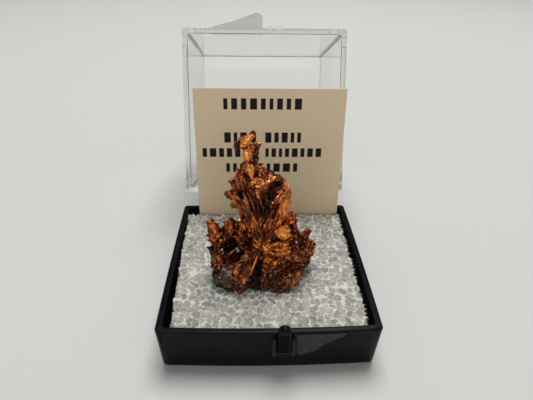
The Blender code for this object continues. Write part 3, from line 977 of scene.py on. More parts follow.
@dataclass(frozen=True)
class View:
    """Where the camera stands and how it is turned, in millimetres and radians."""

    lens: float = 28.629
    sensor: float = 36.0
    picture: tuple[int, int] = (533, 400)
    pitch: float = 0.5640
    yaw: float = 0.0354
    roll: float = 0.0169
    eye: Point = (-2.3823, -61.1844, 59.6210)

    def axes(self) -> tuple[Vector, Vector, Vector]:
        """The camera's right, its up and the way back from what it looks at."""
        level = math.cos(self.pitch)
        ahead = Vector((math.sin(self.yaw) * level, math.cos(self.yaw) * level, -math.sin(self.pitch)))
        right = Vector((math.cos(self.yaw), -math.sin(self.yaw), 0.0))
        up = right.cross(ahead)
        c, s = math.cos(self.roll), math.sin(self.roll)
        return right * c + up * s, -right * s + up * c, -ahead

    def pixels(self, points: np.ndarray) -> np.ndarray:
        """Where points fall in the picture.

        Args:
            points: Places in millimetres, three numbers to a row.

        Returns:
            Pixels across and down for each place.
        """
        right, up, back = (np.array(axis) for axis in self.axes())
        away = points - np.array(self.eye)
        scale = self.lens / self.sensor * self.picture[0] / -(away @ back)
        across = self.picture[0] / 2 + scale * (away @ right)
        down = self.picture[1] / 2 - scale * (away @ up)
        return np.stack([across, down], axis=1)


# The copper


@dataclass(frozen=True)
class Spot:
    """A place on the copper with its own polish and painted light, stone, stain, hollow or fit."""

    centre: Point
    reach: float
    strength: float


@dataclass(frozen=True)
class RimSpot:
    """A place on the copper's outline, in pixels, where the skin is let out or taken in."""

    across: float
    down: float
    reach: float
    shift: float


@dataclass(frozen=True)
class Blade:
    """A striated blade or plate of copper along a spine of (x, y, z, half width)."""

    spine: tuple[tuple[float, float, float, float], ...]
    facing: Point
    thickness: float
    ridges: float
    bow: float
    polish_and_light: float


# Spots on the copper: centre, reach and strength. Above zero they brighten it, partly less tarnish and
# partly painted highlights; below zero they darken it, partly darker tarnish and partly painted shade in
# gaps and cavities.
POLISH_AND_PAINTED_LIGHT = (
    Spot((-3.3, -3.6, 33.7), 1.1, 0.45),
    Spot((-4.7, -3.4, 32.6), 0.8, 0.1),
    Spot((-3.4, -3.2, 30.9), 0.9, 0.42),
    Spot((-2.9, -3.4, 28.8), 0.8, 0.45),
    Spot((-1.9, -2.6, 30.5), 0.9, -0.25),
    Spot((-2.3, -3.3, 29.6), 0.5, -0.3),
    Spot((-2.1, -3.4, 28.0), 0.6, -0.35),
    Spot((-3.75, -3.6, 27.7), 0.6, -0.3),
    Spot((-6.3, -4.3, 18.2), 1.2, 0.3),
    Spot((-2.1, -3.4, 26.7), 0.8, 0.22),
    Spot((-0.9, -3.6, 26.5), 0.8, 0.12),
    Spot((0.8, -3.3, 26.7), 0.8, 0.0),
    Spot((1.6, -2.9, 27.0), 0.7, 0.02),
    Spot((2.9, -2.9, 25.5), 0.8, 0.4),
    Spot((2.8, -3.5, 23.6), 1.5, 0.08),
    Spot((2.5, -4.0, 21.6), 1.3, 0.2),
    Spot((1.8, -4.6, 19.8), 1.1, 0.22),
    Spot((-5.7, -3.7, 24.5), 1.0, 0.12),
    Spot((-4.3, -3.2, 27.6), 0.9, 0.2),
    Spot((-2.9, -5.3, 23.2), 1.3, 0.05),
    Spot((-1.9, -5.4, 17.8), 1.5, 0.12),
    Spot((-1.9, -5.6, 16.2), 0.9, 0.3),
    Spot((-0.4, -5.8, 15.4), 0.8, 0.4),
    Spot((2.4, -5.8, 15.3), 1.6, 0.28),
    Spot((-8.8, -3.9, 17.8), 1.1, 0.28),
    Spot((-4.2, -3.8, 18.5), 1.0, 0.15),
    Spot((-3.9, -8.2, 11.4), 0.7, 0.45),
    Spot((0.3, -6.5, 13.2), 1.7, 0.16),
    Spot((1.2, -6.3, 12.3), 0.5, 0.35),
    Spot((4.4, -6.3, 14.6), 1.5, 0.1),
    Spot((6.9, -3.4, 14.9), 1.2, 0.1),
    Spot((0.95, -4.0, 26.1), 0.9, -0.6),
    Spot((1.6, -3.7, 26.0), 0.7, -0.5),
    Spot((0.3, -4.9, 25.1), 1.3, -0.28),
    Spot((-4.5, -4.5, 24.8), 0.9, -0.6),
    Spot((0.2, -5.3, 24.6), 0.7, -0.35),
    Spot((-0.7, -5.5, 23.8), 0.7, -0.35),
    Spot((-1.1, -5.2, 22.6), 0.8, -0.35),
    Spot((-7.0, -5.4, 15.0), 1.6, -0.4),
    Spot((-5.8, -5.0, 15.2), 1.1, -0.3),
    Spot((-5.4, -6.0, 13.2), 1.4, -0.25),
    Spot((-1.9, -6.7, 12.8), 1.0, -0.7),
    Spot((-2.2, -7.3, 11.0), 1.5, -0.9),
    Spot((-2.3, -8.0, 9.3), 1.5, -0.9),
    Spot((1.2, -8.2, 9.6), 3.0, -0.03),
    Spot((4.4, -7.6, 9.8), 2.4, 0.22),
    Spot((-0.9, -5.2, 23.6), 2.6, -0.1),
    Spot((4.2, -6.2, 12.4), 1.6, -0.08),
    Spot((3.0, -3.4, 16.4), 0.9, -0.4),
    Spot((-8.3, -7.6, 10.4), 1.6, -0.2),
)

STONY = (
    Spot((-9.5, -5.0, 12.4), 0.9, 0.9),
    Spot((-7.9, -6.9, 12.7), 0.7, 0.8),
    Spot((-6.9, -7.6, 11.7), 1.3, 0.8),
    Spot((-6.9, -8.2, 10.0), 1.5, 0.9),
    Spot((-8.6, -7.4, 9.6), 1.2, 0.7),
    Spot((-3.4, 3.6, 10.2), 1.9, 0.9),
)

FROSTED = (
    Spot((-8.4, -7.2, 12.2), 1.0, 0.9),
    Spot((-6.5, -8.0, 11.5), 0.8, 0.8),
    Spot((-9.3, -6.0, 12.4), 0.7, 0.6),
)

STAINED = (
    Spot((-9.2, -7.6, 8.4), 1.5, 0.8),
    Spot((-3.2, -8.7, 8.0), 1.1, 0.7),
    Spot((5.3, -5.9, 13.8), 0.9, 0.7),
    Spot((6.2, -4.8, 9.0), 1.0, 0.5),
)

# Hollows pressed into the skin: centre, reach and depth
PITS = (
    Spot((0.95, -4.1, 26.1), 0.9, 0.9),
    Spot((1.6, -3.7, 26.1), 0.6, 0.7),
    Spot((-4.5, -4.5, 24.8), 0.8, 0.8),
    Spot((-5.3, -3.6, 25.1), 0.4, 0.5),
    Spot((0.3, -5.4, 24.8), 0.45, 0.6),
    Spot((-0.2, -5.5, 24.3), 0.45, 0.6),
    Spot((-0.7, -5.6, 23.7), 0.45, 0.6),
    Spot((-1.1, -5.4, 22.7), 0.45, 0.6),
    Spot((-7.5, -5.4, 15.2), 1.0, 0.9),
    Spot((-6.4, -5.7, 15.0), 1.1, 1.1),
    Spot((-5.7, -4.9, 15.6), 0.8, 0.6),
    Spot((-1.8, -6.6, 12.8), 0.9, 1.0),
    Spot((-2.1, -7.3, 11.1), 1.0, 1.3),
    Spot((-2.3, -8.0, 9.5), 1.0, 1.3),
    Spot((0.2, -8.2, 10.6), 0.7, 0.6),
    Spot((2.6, -7.6, 11.2), 0.8, 0.6),
    Spot((2.9, -4.0, 16.6), 0.9, 0.6),
    Spot((-5.4, -6.4, 13.4), 0.8, 0.6),
)

# Places where the skin is let out (above zero) or taken in
FITTED = (
    Spot((-2.5, -2.8, 34.1), 0.5, 0.35),
    Spot((-2.65, -2.5, 33.0), 0.45, -0.3),
    Spot((-1.9, -2.5, 32.8), 0.4, -0.2),
    Spot((-6.3, -2.9, 24.0), 0.8, 0.35),
    Spot((-10.2, -3.2, 19.6), 0.7, -0.2),
    Spot((-4.4, -2.8, 33.4), 0.7, 0.2),
    Spot((-4.2, -1.9, 18.9), 0.6, -0.4),
)

# The same on the outline that the camera sees: pixels across and down, reach and shift
RIM = {
    "neck, low on the right": RimSpot(259.0, 163.0, 1.0, -0.35),
    "shoulder, left": RimSpot(235.0, 172.0, 0.9, -0.12),
    "upper left knob": RimSpot(230.0, 181.0, 0.8, -0.1),
    "top, right of the pit": RimSpot(277.0, 173.5, 1.3, -0.7),
    "top, right end": RimSpot(288.0, 179.5, 1.1, -0.3),
    "far knob, left side": RimSpot(299.5, 229.0, 1.1, -0.5),
    "far knob, top": RimSpot(309.0, 230.0, 0.8, 0.15),
    "far right knob": RimSpot(313.5, 242.0, 1.1, -0.2),
    "right side, low": RimSpot(313.0, 258.0, 1.0, -0.4),
    "right foot, upper": RimSpot(306.5, 271.0, 1.4, -0.5),
    "right foot, lower": RimSpot(301.0, 281.0, 1.4, -0.55),
    "front foot, left": RimSpot(264.0, 291.0, 1.3, -0.6),
    "front foot, right": RimSpot(279.0, 294.0, 1.0, -0.2),
    "left foot, upper": RimSpot(210.0, 268.0, 1.0, -0.35),
    "left foot, middle": RimSpot(211.0, 278.0, 1.1, -0.5),
    "left foot, lower": RimSpot(222.0, 288.0, 0.9, -0.3),
    "left spur, outer side": RimSpot(205.5, 229.0, 1.0, -0.8),
    "left spur, root": RimSpot(210.0, 245.0, 0.9, -0.3),
    "waist, left": RimSpot(241.0, 212.0, 1.3, 0.4),
    "top, middle": RimSpot(269.0, 174.0, 0.8, 0.5),
    "right knob, top": RimSpot(291.0, 214.0, 0.8, 0.3),
    "neck, left": RimSpot(244.0, 156.0, 0.8, 0.42),
    "wedge, foot": RimSpot(252.0, 287.0, 1.0, 0.5),
    "left of the wedge": RimSpot(232.0, 290.0, 0.8, 0.3),
    "crown, left": RimSpot(236.0, 145.0, 0.7, 0.25),
}
RIM_POINTS = 12

BLADES = (
    # Front wedge with its right edge, whose thin blades are set bright as a painted highlight
    Blade(
        ((-3.05, -6.8, 15.3, 1.3), (-3.95, -7.75, 13.1, 1.5), (-4.6, -8.7, 10.6, 1.2),
         (-4.8, -9.1, 9.4, 0.85),
         (-4.93, -9.3, 7.9, 0.3)),
        (0.12, -1.0, 0.4), 1.5, 9.0, 0.25, 0.27,
    ),
    Blade(((-1.75, -7.1, 14.6, 0.08), (-2.3, -7.85, 13.3, 0.2), (-2.95, -8.5, 11.7, 0.08)),
          (0.5, -1.0, 0.4), 0.35, 1.0, 0.05, 1.0),
    Blade(((-3.7, -8.8, 11.6, 0.1), (-3.95, -9.1, 10.9, 0.24), (-4.1, -9.3, 10.2, 0.08)),
          (0.2, -1.0, 0.4), 0.35, 1.0, 0.05, 0.9),
    # Broad fold down the right side
    Blade(
        ((2.66, -3.3, 25.0, 0.5), (2.85, -3.7, 23.7, 0.78), (2.65, -4.1, 22.2, 0.72),
         (2.2, -4.6, 20.6, 0.5),
         (1.45, -5.1, 19.2, 0.42), (0.4, -5.9, 17.8, 0.2)),
        (0.3, -1.0, 0.25), 0.7, 7.0, 0.14, 0.5,
    ),
    Blade(((2.6, -3.05, 25.7, 0.2), (2.95, -3.15, 25.35, 0.35), (3.2, -3.05, 24.9, 0.2)),
          (0.4, -1.0, 0.7), 0.4, 2.0, 0.15, 0.9),
    # Crown and neck
    Blade(((-2.4, -3.1, 34.4, 0.2), (-3.0, -3.6, 33.9, 0.42), (-3.7, -3.9, 33.3, 0.55),
           (-4.4, -3.7, 32.6, 0.3)),
          (-0.1, -1.0, 0.15), 0.7, 5.0, 0.1, 0.9),
    Blade(((-2.2, -2.8, 34.75, 0.2), (-2.5, -3.0, 34.45, 0.3), (-2.9, -3.3, 34.0, 0.15)),
          (0.3, -1.0, 0.4), 0.4, 1.0, 0.15, 0.15),
    Blade(((-4.6, -3.2, 33.3, 0.2), (-5.0, -3.3, 32.5, 0.45), (-4.8, -3.3, 31.8, 0.3)),
          (-0.4, -1.0, 0.3), 0.5, 2.0, 0.3, 0.25),
    Blade(((-2.9, -2.95, 32.45, 0.2), (-2.0, -2.7, 32.7, 0.26), (-1.2, -2.6, 32.5, 0.34)),
          (0.0, -0.8, 1.0), 0.35, 2.0, 0.1, 0.7),
    Blade(((-3.6, -3.2, 32.1, 0.3), (-3.45, -3.3, 31.0, 0.45), (-3.1, -3.4, 30.0, 0.3)),
          (-0.1, -1.0, 0.3), 0.5, 4.0, 0.12, 0.75),
    Blade(((-3.34, -3.6, 30.1, 0.12), (-3.05, -3.95, 29.3, 0.32), (-2.85, -4.2, 28.5, 0.42),
           (-2.5, -4.35, 27.0, 0.06)),
          (-0.1, -1.0, 0.9), 0.4, 2.5, 0.05, 1.0),
    Blade(((-1.85, -2.8, 32.0, 0.28), (-1.95, -2.75, 30.8, 0.36), (-2.0, -2.8, 29.7, 0.34),
           (-2.2, -3.0, 28.5, 0.2)),
          (0.3, -1.0, 0.1), 0.4, 4.0, 0.1, 0.3),
    # Edges of the top
    Blade(((-2.1, -3.5, 26.8, 0.2), (-1.1, -3.8, 26.5, 0.3), (0.0, -3.8, 26.7, 0.22),
           (0.9, -3.5, 26.7, 0.2)),
          (0.0, -0.9, 0.6), 0.35, 4.0, 0.14, 0.55),
    Blade(((1.2, -3.1, 27.0, 0.25), (1.7, -3.0, 27.0, 0.3), (2.2, -3.0, 26.6, 0.2)),
          (0.1, -0.9, 0.5), 0.4, 3.0, 0.15, 0.5),
    # Ribs that run down to the waist
    Blade(((-4.56, -3.8, 26.1, 0.12), (-3.9, -4.7, 25.0, 0.24), (-3.3, -5.3, 23.6, 0.28),
           (-2.85, -5.6, 22.0, 0.12)),
          (-0.3, -1.0, 0.2), 0.5, 2.0, 0.22, 0.3),
    Blade(((-3.66, -4.4, 25.8, 0.12), (-2.9, -5.2, 24.5, 0.26), (-2.4, -5.5, 23.0, 0.28),
           (-1.95, -5.5, 21.0, 0.12)),
          (-0.2, -1.0, 0.2), 0.5, 2.0, 0.22, 0.32),
    Blade(((-2.88, -4.2, 25.8, 0.12), (-2.2, -5.2, 24.9, 0.24), (-1.75, -5.45, 23.4, 0.28),
           (-1.4, -5.55, 21.2, 0.12)),
          (-0.1, -1.0, 0.2), 0.5, 2.0, 0.22, 0.22),
    Blade(((-1.3, -4.6, 25.4, 0.1), (-1.25, -5.5, 24.3, 0.2), (-0.9, -5.7, 22.9, 0.24),
           (-1.0, -5.8, 20.6, 0.1)),
          (0.0, -1.0, 0.2), 0.5, 2.0, 0.2, 0.18),
    Blade(((1.75, -3.7, 24.5, 0.12), (1.1, -4.9, 24.1, 0.24), (0.4, -5.5, 23.5, 0.14)),
          (0.2, -1.0, 0.5), 0.4, 2.0, 0.14, 0.75),
    Blade(((2.0, -4.1, 24.0, 0.12), (1.8, -4.3, 22.5, 0.26), (1.35, -4.5, 21.0, 0.28),
           (0.6, -5.1, 19.4, 0.12)),
          (0.2, -1.0, 0.2), 0.5, 2.0, 0.22, 0.46),
    Blade(((0.9, -5.2, 23.4, 0.12), (0.35, -5.6, 21.8, 0.26), (-0.4, -6.0, 20.3, 0.28),
           (-1.1, -6.0, 18.8, 0.1)),
          (0.1, -1.0, 0.2), 0.5, 2.0, 0.22, 0.32),
    Blade(((-0.4, -5.5, 22.3, 0.1), (-1.0, -5.9, 20.8, 0.24), (-1.6, -5.95, 19.0, 0.28),
           (-1.9, -5.8, 17.4, 0.1)),
          (0.0, -1.0, 0.2), 0.5, 2.0, 0.22, 0.26),
    Blade(((-2.9, -4.9, 20.6, 0.12), (-2.6, -5.4, 19.2, 0.3), (-2.4, -5.6, 17.6, 0.16)),
          (-0.2, -1.0, 0.2), 0.5, 3.0, 0.2, 0.4),
    # Ledges about the waist
    Blade(((-2.5, -5.4, 16.9, 0.14), (-1.8, -5.8, 16.5, 0.26), (-1.2, -5.9, 16.0, 0.12)),
          (0.0, -0.8, 1.0), 0.3, 2.0, 0.1, 0.9),
    Blade(((-2.6, -5.8, 16.2, 0.12), (-2.0, -6.1, 15.8, 0.22), (-1.4, -6.2, 15.4, 0.1)),
          (0.1, -0.8, 1.0), 0.3, 2.0, 0.1, 0.8),
    Blade(((-0.9, -6.0, 15.9, 0.2), (-0.4, -6.2, 15.4, 0.28), (0.05, -6.3, 14.9, 0.12)),
          (0.1, -1.0, 0.9), 0.35, 1.0, 0.1, 1.0),
    Blade(((-0.3, -6.1, 15.8, 0.12), (0.8, -6.1, 16.1, 0.24), (1.9, -5.8, 16.4, 0.12)),
          (0.0, -0.9, 0.8), 0.22, 3.0, 0.08, 0.8),
    Blade(((0.8, -6.3, 15.25, 0.2), (2.1, -6.6, 15.6, 0.4), (3.5, -6.4, 15.6, 0.2)),
          (0.0, -0.9, 0.8), 0.2, 6.0, 0.05, 0.72),
    Blade(((0.5, -6.5, 14.2, 0.12), (2.1, -6.85, 14.75, 0.28), (3.8, -6.6, 15.0, 0.14)),
          (0.1, -0.9, 0.8), 0.18, 5.0, 0.05, 0.75),
    Blade(((-0.1, -6.4, 14.8, 0.1), (0.9, -6.6, 14.6, 0.18), (2.0, -6.6, 14.2, 0.1)),
          (0.1, -0.9, 0.9), 0.25, 3.0, 0.1, 0.5),
    # Left spurs, thorn and needle
    Blade(((-9.6, -3.3, 19.2, 0.22), (-9.25, -4.0, 17.9, 0.62), (-8.95, -4.4, 16.6, 0.66),
           (-8.7, -4.5, 15.2, 0.3)),
          (-0.1, -1.0, 0.5), 0.6, 4.0, 0.2, 0.5),
    Blade(((-9.0, -4.15, 18.3, 0.1), (-8.75, -4.45, 17.7, 0.32), (-8.6, -4.65, 16.9, 0.1)),
          (0.3, -1.0, 0.7), 0.3, 1.0, 0.1, 1.0),
    Blade(((-6.35, -3.9, 19.6, 0.3), (-6.3, -4.3, 18.3, 0.62), (-6.2, -4.6, 17.0, 0.45)),
          (0.0, -1.0, 0.5), 0.6, 4.0, 0.2, 0.42),
    Blade(((-4.8, -3.7, 19.1, 0.3), (-4.2, -4.05, 18.5, 0.5), (-3.7, -4.3, 17.8, 0.3)),
          (0.0, -1.0, 0.7), 0.5, 3.0, 0.2, 0.55),
    Blade(((-10.5, -3.6, 13.7, 0.1), (-9.9, -3.9, 13.3, 0.24), (-9.3, -4.4, 13.0, 0.26)),
          (-0.2, -1.0, 0.6), 0.4, 2.0, 0.1, 0.3),
    Blade(((-7.0, -6.2, 13.75, 0.05), (-6.1, -6.4, 14.7, 0.12), (-5.17, -6.4, 15.7, 0.05)),
          (0.2, -1.0, 0.9), 0.1, 1.0, 0.02, 0.85),
    # Right of the round plate, and the smooth dome below
    Blade(((4.3, -4.2, 18.9, 0.3), (4.5, -4.4, 17.9, 0.44), (4.6, -4.6, 16.9, 0.35)),
          (0.3, -1.0, 0.4), 0.6, 3.0, 0.2, 0.4),
    Blade(((4.2, -6.3, 15.4, 0.5), (4.7, -6.7, 14.3, 1.0), (5.2, -6.7, 13.1, 0.7)),
          (0.25, -1.0, 0.5), 0.9, 2.0, 0.4, 0.2),
    # Rear plates
    Blade(((-2.4, 1.4, 24.0, 0.5), (-1.0, 2.0, 20.4, 1.0), (0.4, 2.8, 16.4, 0.8)),
          (0.1, 1.0, 0.3), 0.7, 8.0, 0.3, 0.5),
    Blade(((-5.0, 2.8, 15.0, 0.4), (-4.2, 3.5, 12.8, 0.8), (-4.8, 4.2, 10.2, 0.6)),
          (-0.2, 1.0, 0.4), 0.6, 5.0, 0.2, 0.4),
    Blade(((2.4, 3.0, 15.2, 0.4), (2.8, 3.9, 13.0, 0.7), (2.2, 4.6, 10.2, 0.5)),
          (0.3, 1.0, 0.4), 0.6, 5.0, 0.2, 0.55),
)

# Round plates with raised rims: centre, radius, facing, dish and polish with painted light
COINS = (
    ((2.3, -6.05, 18.55), 1.3, (0.1, -1.0, 0.22), 0.08, 1.0),
    ((3.6, -4.0, 19.8), 0.88, (0.0, -1.0, 0.8), 0.5, 0.6),
    ((-4.32, -3.1, 28.0), 0.62, (-0.3, -1.0, 0.5), 0.3, 0.5),
    ((-3.12, -3.9, 27.3), 0.6, (0.0, -1.0, 0.5), 0.2, 0.42),
    ((-5.55, -3.8, 24.8), 0.62, (-0.3, -1.0, 0.6), 0.36, 0.6),
)


def spots_at(points: np.ndarray, spots: Sequence[Spot]) -> np.ndarray:
    """Adds up the strengths of spots at points, each fading to its reach.

    Args:
        points: Places in millimetres.
        spots: The spots.

    Returns:
        The summed strength at each place.
    """
    total = np.zeros(len(points))
    for spot in spots:
        distance = np.linalg.norm(points - np.array(spot.centre), axis=1)
        total += spot.strength * (1.0 - ramp(distance, 0.35 * spot.reach, 1.25 * spot.reach))
    return total


def rim_spots(points: np.ndarray, view: View) -> tuple[Spot, ...]:
    """Finds the named places of the outline on the skin.

    Args:
        points: The skin's points in millimetres.
        view: The camera that the pixels belong to.

    Returns:
        A spot for each place, in the middle of the points that look nearest to it.
    """
    seen = view.pixels(points)
    spots = []
    for rim in RIM.values():
        away = np.hypot(seen[:, 0] - rim.across, seen[:, 1] - rim.down)
        near = np.argsort(away, kind="stable")[:RIM_POINTS]
        spots.append(Spot(tuple(points[near].mean(axis=0)), rim.reach, rim.shift))
    return tuple(spots)


@dataclass
class CopperSpecimen:
    """The branching copper: a crusted skin with blades, a coin-like plate and crystals."""

    skin_voxel: float = 0.16
    rest_level: float = 7.9
    sink: float = 0.45
    waist: Point = (-0.4, -4.5, 14.6)
    crystal_count: int = 6200
    crystal_sizes: tuple[float, float] = (0.07, 0.2)
    seed: int = 41
    view: View = View()

    def build(
        self, source: bpy.types.Object, copper: bpy.types.Material, quartz: bpy.types.Material
    ) -> list[bpy.types.Object]:
        """Builds the four pieces of the specimen.

        Args:
            source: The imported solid.
            copper: Dresses the skin, the blades and the crystals.
            quartz: Dresses the quartz grains.

        Returns:
            The pieces.
        """
        skin = self.skin(source)
        points = points_of(skin)
        normals = normals_of(skin)
        body = dressed("copper_skin", skin, copper, 0.0)
        shell, polish_and_light = self.blades()
        blades = shell.to_object("copper_blades", copper, 24.0)
        self.paint(blades.data, own=polish_and_light)
        crystals = self.crystals(points, normals).to_object("copper_crystals", copper, 0.0)
        self.paint(crystals.data)
        grains = self.grains().to_object("quartz_grains", quartz, 0.0)
        attach(body, Body.BASE, Slot.COPPER, "native_copper")
        return [body] + [attach(piece, Body.BASE, Slot.COPPER) for piece in (blades, crystals, grains)]

    def skin(self, source: bpy.types.Object) -> bpy.types.Mesh:
        """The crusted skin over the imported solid, striated above and crumbly below.

        Args:
            source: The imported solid.

        Returns:
            The skin's mesh.
        """
        bm = bmesh.new()
        bm.from_mesh(source.data)
        bmesh.ops.remove_doubles(bm, verts=bm.verts, dist=1e-6)
        heap = bpy.data.meshes.new("heap")
        bm.to_mesh(heap)
        bm.free()
        mesh = fused(heap, self.skin_voxel * 1.3)
        points = relaxed(mesh, points_of(mesh), 4, 0.6)
        set_points(mesh, points)
        normals = normals_of(mesh)
        fitted = FITTED + rim_spots(points, self.view)
        lift = self.coarse_relief(points) - spots_at(points, PITS) + spots_at(points, fitted)
        set_points(mesh, points + normals * lift[:, None])
        mesh = fused(mesh, self.skin_voxel)
        points = points_of(mesh)
        normals = normals_of(mesh)
        points = points + normals * self.fine_relief(points)[:, None]
        low = ramp(points[:, 2], self.rest_level + 1.1, self.rest_level + 0.2)
        points[:, 2] -= self.sink * low
        set_points(mesh, points)
        # how far each point lies below its smoothed neighbours, for painted shade in the hollows
        calm = relaxed(mesh, points, 14, 0.5)
        inward = np.einsum("ij,ij->i", calm - points, normals)
        self.paint(mesh, ramp(inward, 0.0, 0.22))
        return mesh

    def striation(self, points: np.ndarray) -> np.ndarray:
        """How much the surface is drawn out in long lines rather than crumbly."""
        upper = ramp(points[:, 2], 16.8, 19.3) * (1.0 - ramp(points[:, 2], 26.0, 28.0))
        side = 1.0 - ramp(np.abs(points[:, 0] + 0.8), 4.4, 5.8)
        return upper * side

    def fan(self, points: np.ndarray) -> np.ndarray:
        """Coordinates in which lines run from the waist outward."""
        out = points - np.array(self.waist)
        reach = np.maximum(np.hypot(out[:, 0], out[:, 2]), 1.0)
        turn = np.arctan2(out[:, 0], np.abs(out[:, 2]) + 0.5)
        return np.stack([turn * 17.0, reach * 0.22, points[:, 1] * 1.2], axis=1)

    def coarse_relief(self, points: np.ndarray) -> np.ndarray:
        """Grains, hollows and folds from half a millimetre up.

        Args:
            points: The skin's points.

        Returns:
            How far each moves outward.
        """
        line = self.striation(points)
        grains, _, label = cell_noise(points * 1.25, self.seed)
        crumbs = (0.5 - grains) * (0.35 + 0.5 * label)
        gaps = np.minimum(soft_noise(points * 0.9, self.seed + 5), 0.0)
        folds = 0.5 - 2.0 * np.abs(soft_noise(self.fan(points) * 0.5, self.seed + 9))
        rough = (1.0 - 0.72 * line) * self.unworn(points)
        return rough * (crumbs + 0.45 * gaps) + line * (0.10 * folds + 0.05 * gaps)

    def fine_relief(self, points: np.ndarray) -> np.ndarray:
        """Grains and lines down to the skin's own spacing.

        Args:
            points: The skin's points.

        Returns:
            How far each moves outward.
        """
        line = self.striation(points)
        grains, _, label = cell_noise(points * 2.6, self.seed + 20)
        crumbs = (0.5 - grains) * (0.12 + 0.2 * label)
        lines = 0.6 - 2.0 * np.abs(soft_noise(self.fan(points) * 0.9, self.seed + 30))
        rough = layered_noise(points * 2.2, self.seed + 40, 2)
        return (1.0 - 0.6 * line) * self.unworn(points) * (crumbs + 0.07 * rough) + line * 0.085 * lines

    def unworn(self, points: np.ndarray) -> np.ndarray:
        """1 where the surface is crusted, less at the spots of polish and painted light or on the crown.
        """
        worn_or_lit = np.clip(spots_at(points, POLISH_AND_PAINTED_LIGHT) / 0.25, 0.0, 1.0)
        crown = ramp(points[:, 2], 28.5, 30.0)
        return 1.0 - np.maximum(0.75 * worn_or_lit, 0.55 * crown)

    def paint(
        self, mesh: bpy.types.Mesh, hollow: np.ndarray | None = None, own: np.ndarray | None = None
    ) -> None:
        """Stores the copper's polish with its painted highlights and shade, where it is stony, how hollow
        it is (used as painted shade) and where it is stained, and how its lines run.

        Args:
            mesh: The mesh to mark.
            hollow: How deep each point lies in a hollow, for painted shade, or None for loose forms.
            own: A polish with painted light of each point's own, or None.
        """
        points = points_of(mesh)
        deep = np.zeros(len(points)) if hollow is None else hollow
        drift = 0.14 * layered_noise(points * 0.5, self.seed + 60, 2)
        spots = spots_at(points, POLISH_AND_PAINTED_LIGHT)
        if own is None:
            polish_and_light = 0.40 + drift + spots + 0.08 * ramp(points[:, 2], 10.0, 26.0)
        else:
            polish_and_light = 0.25 + 0.5 * own + drift + 0.4 * spots
        ragged = 0.3 * soft_noise(points * 1.1, self.seed + 70)
        stony = spots_at(points, STONY) + ragged * (spots_at(points, STONY) > 0.05)
        # the third channel, how hollow each point is, darkens the copper in its material as painted shade
        store_colours(mesh, "finish", [np.clip(polish_and_light, 0, 1), np.clip(stony, 0, 1), deep])
        earthy = 1.0 - ramp(points[:, 2], 9.5, 13.0)
        earthy = earthy * (1.0 if own is None else 0.2)
        frost = np.clip(spots_at(points, FROSTED), 0, 1)
        store_colours(mesh, "stain", [np.clip(spots_at(points, STAINED), 0, 1), earthy, frost])
        out = points - np.array(self.waist)
        turn = np.arctan2(out[:, 0], np.abs(out[:, 2]) + 0.5)
        line = self.striation(points) if own is None else np.full(len(points), 0.6)
        store_colours(mesh, "flow", [turn, np.hypot(out[:, 0], out[:, 2]), line])

    def blades(self) -> tuple[Shell, np.ndarray]:
        """The striated blades and the coin-like plates, with each point's polish and painted light.

        Returns:
            The forms, and a polish with painted light for each of their points.
        """
        shell = Shell()
        polish_and_light: list[float] = []
        for number, blade in enumerate(BLADES):
            shell.add_rings(self.blade_rings(blade, number))
            polish_and_light += [blade.polish_and_light] * (shell.count - len(polish_and_light))
        for *form, shine in COINS:
            shell.add_rings(self.coin_rings(*form))
            polish_and_light += [shine] * (shell.count - len(polish_and_light))
        return shell, np.array(polish_and_light)

    def blade_rings(self, blade: Blade, number: int) -> list[np.ndarray]:
        """Sections along one blade: a ridged front, a plain back and ragged sides.

        Args:
            blade: The blade.
            number: Its place in the table, which seeds its noise.

        Returns:
            Its rings.
        """
        steps, across = 34, 17
        knots = np.array(blade.spine)
        at = np.linspace(0, len(knots) - 1, steps)
        spine = np.stack([self.eased(at, knots[:, k]) for k in range(4)], axis=1)
        facing = Vector(blade.facing).normalized()
        rings = []
        for k in range(steps):
            ahead = spine[min(k + 1, steps - 1), :3] - spine[max(k - 1, 0), :3]
            along = Vector(ahead).normalized()
            side = along.cross(facing).normalized()
            out = side.cross(along)
            half = spine[k, 3] * min(1.0, 0.35 + 3.0 * min(k, steps - 1 - k) / steps)
            u = np.linspace(-1.0, 1.0, across)
            rows = [u * blade.ridges * 0.5, np.full(across, k * 0.12), np.full(across, number)]
            probe = np.stack(rows, axis=1)
            ridge = soft_noise(probe, self.seed + 80) * min(0.12, 0.22 * half)
            ragged = soft_noise(probe[:1] * 1.9 + 5.0, self.seed + 81)[0] * 0.3
            rise = blade.bow * (1.0 - u * u) + ridge
            centre = spine[k, :3]
            spread = (u * (half * (1.0 + ragged + 0.2 * math.sin(k * 1.7 + number))))[:, None]
            front = centre + spread * np.array(side) + rise[:, None] * np.array(out)
            depth = (blade.thickness - rise * 0.3)[:, None]
            back = centre + spread * 0.9 * np.array(side) - depth * np.array(out)
            rings.append(np.concatenate([front, back[::-1]]))
        return rings

    @staticmethod
    def eased(at: np.ndarray, values: np.ndarray) -> np.ndarray:
        """Values between knots on a smooth curve through them.

        Args:
            at: Places counted in knots.
            values: A value at each knot.

        Returns:
            A value at each place.
        """
        low = np.clip(np.floor(at).astype(int), 0, len(values) - 2)
        t = at - low
        before = values[np.maximum(low - 1, 0)]
        a, b = values[low], values[low + 1]
        after = values[np.minimum(low + 2, len(values) - 1)]
        square = 2 * before - 5 * a + 4 * b - after
        cube = 3 * a - before - 3 * b + after
        return 0.5 * (2 * a + (b - before) * t + square * t**2 + cube * t**3)

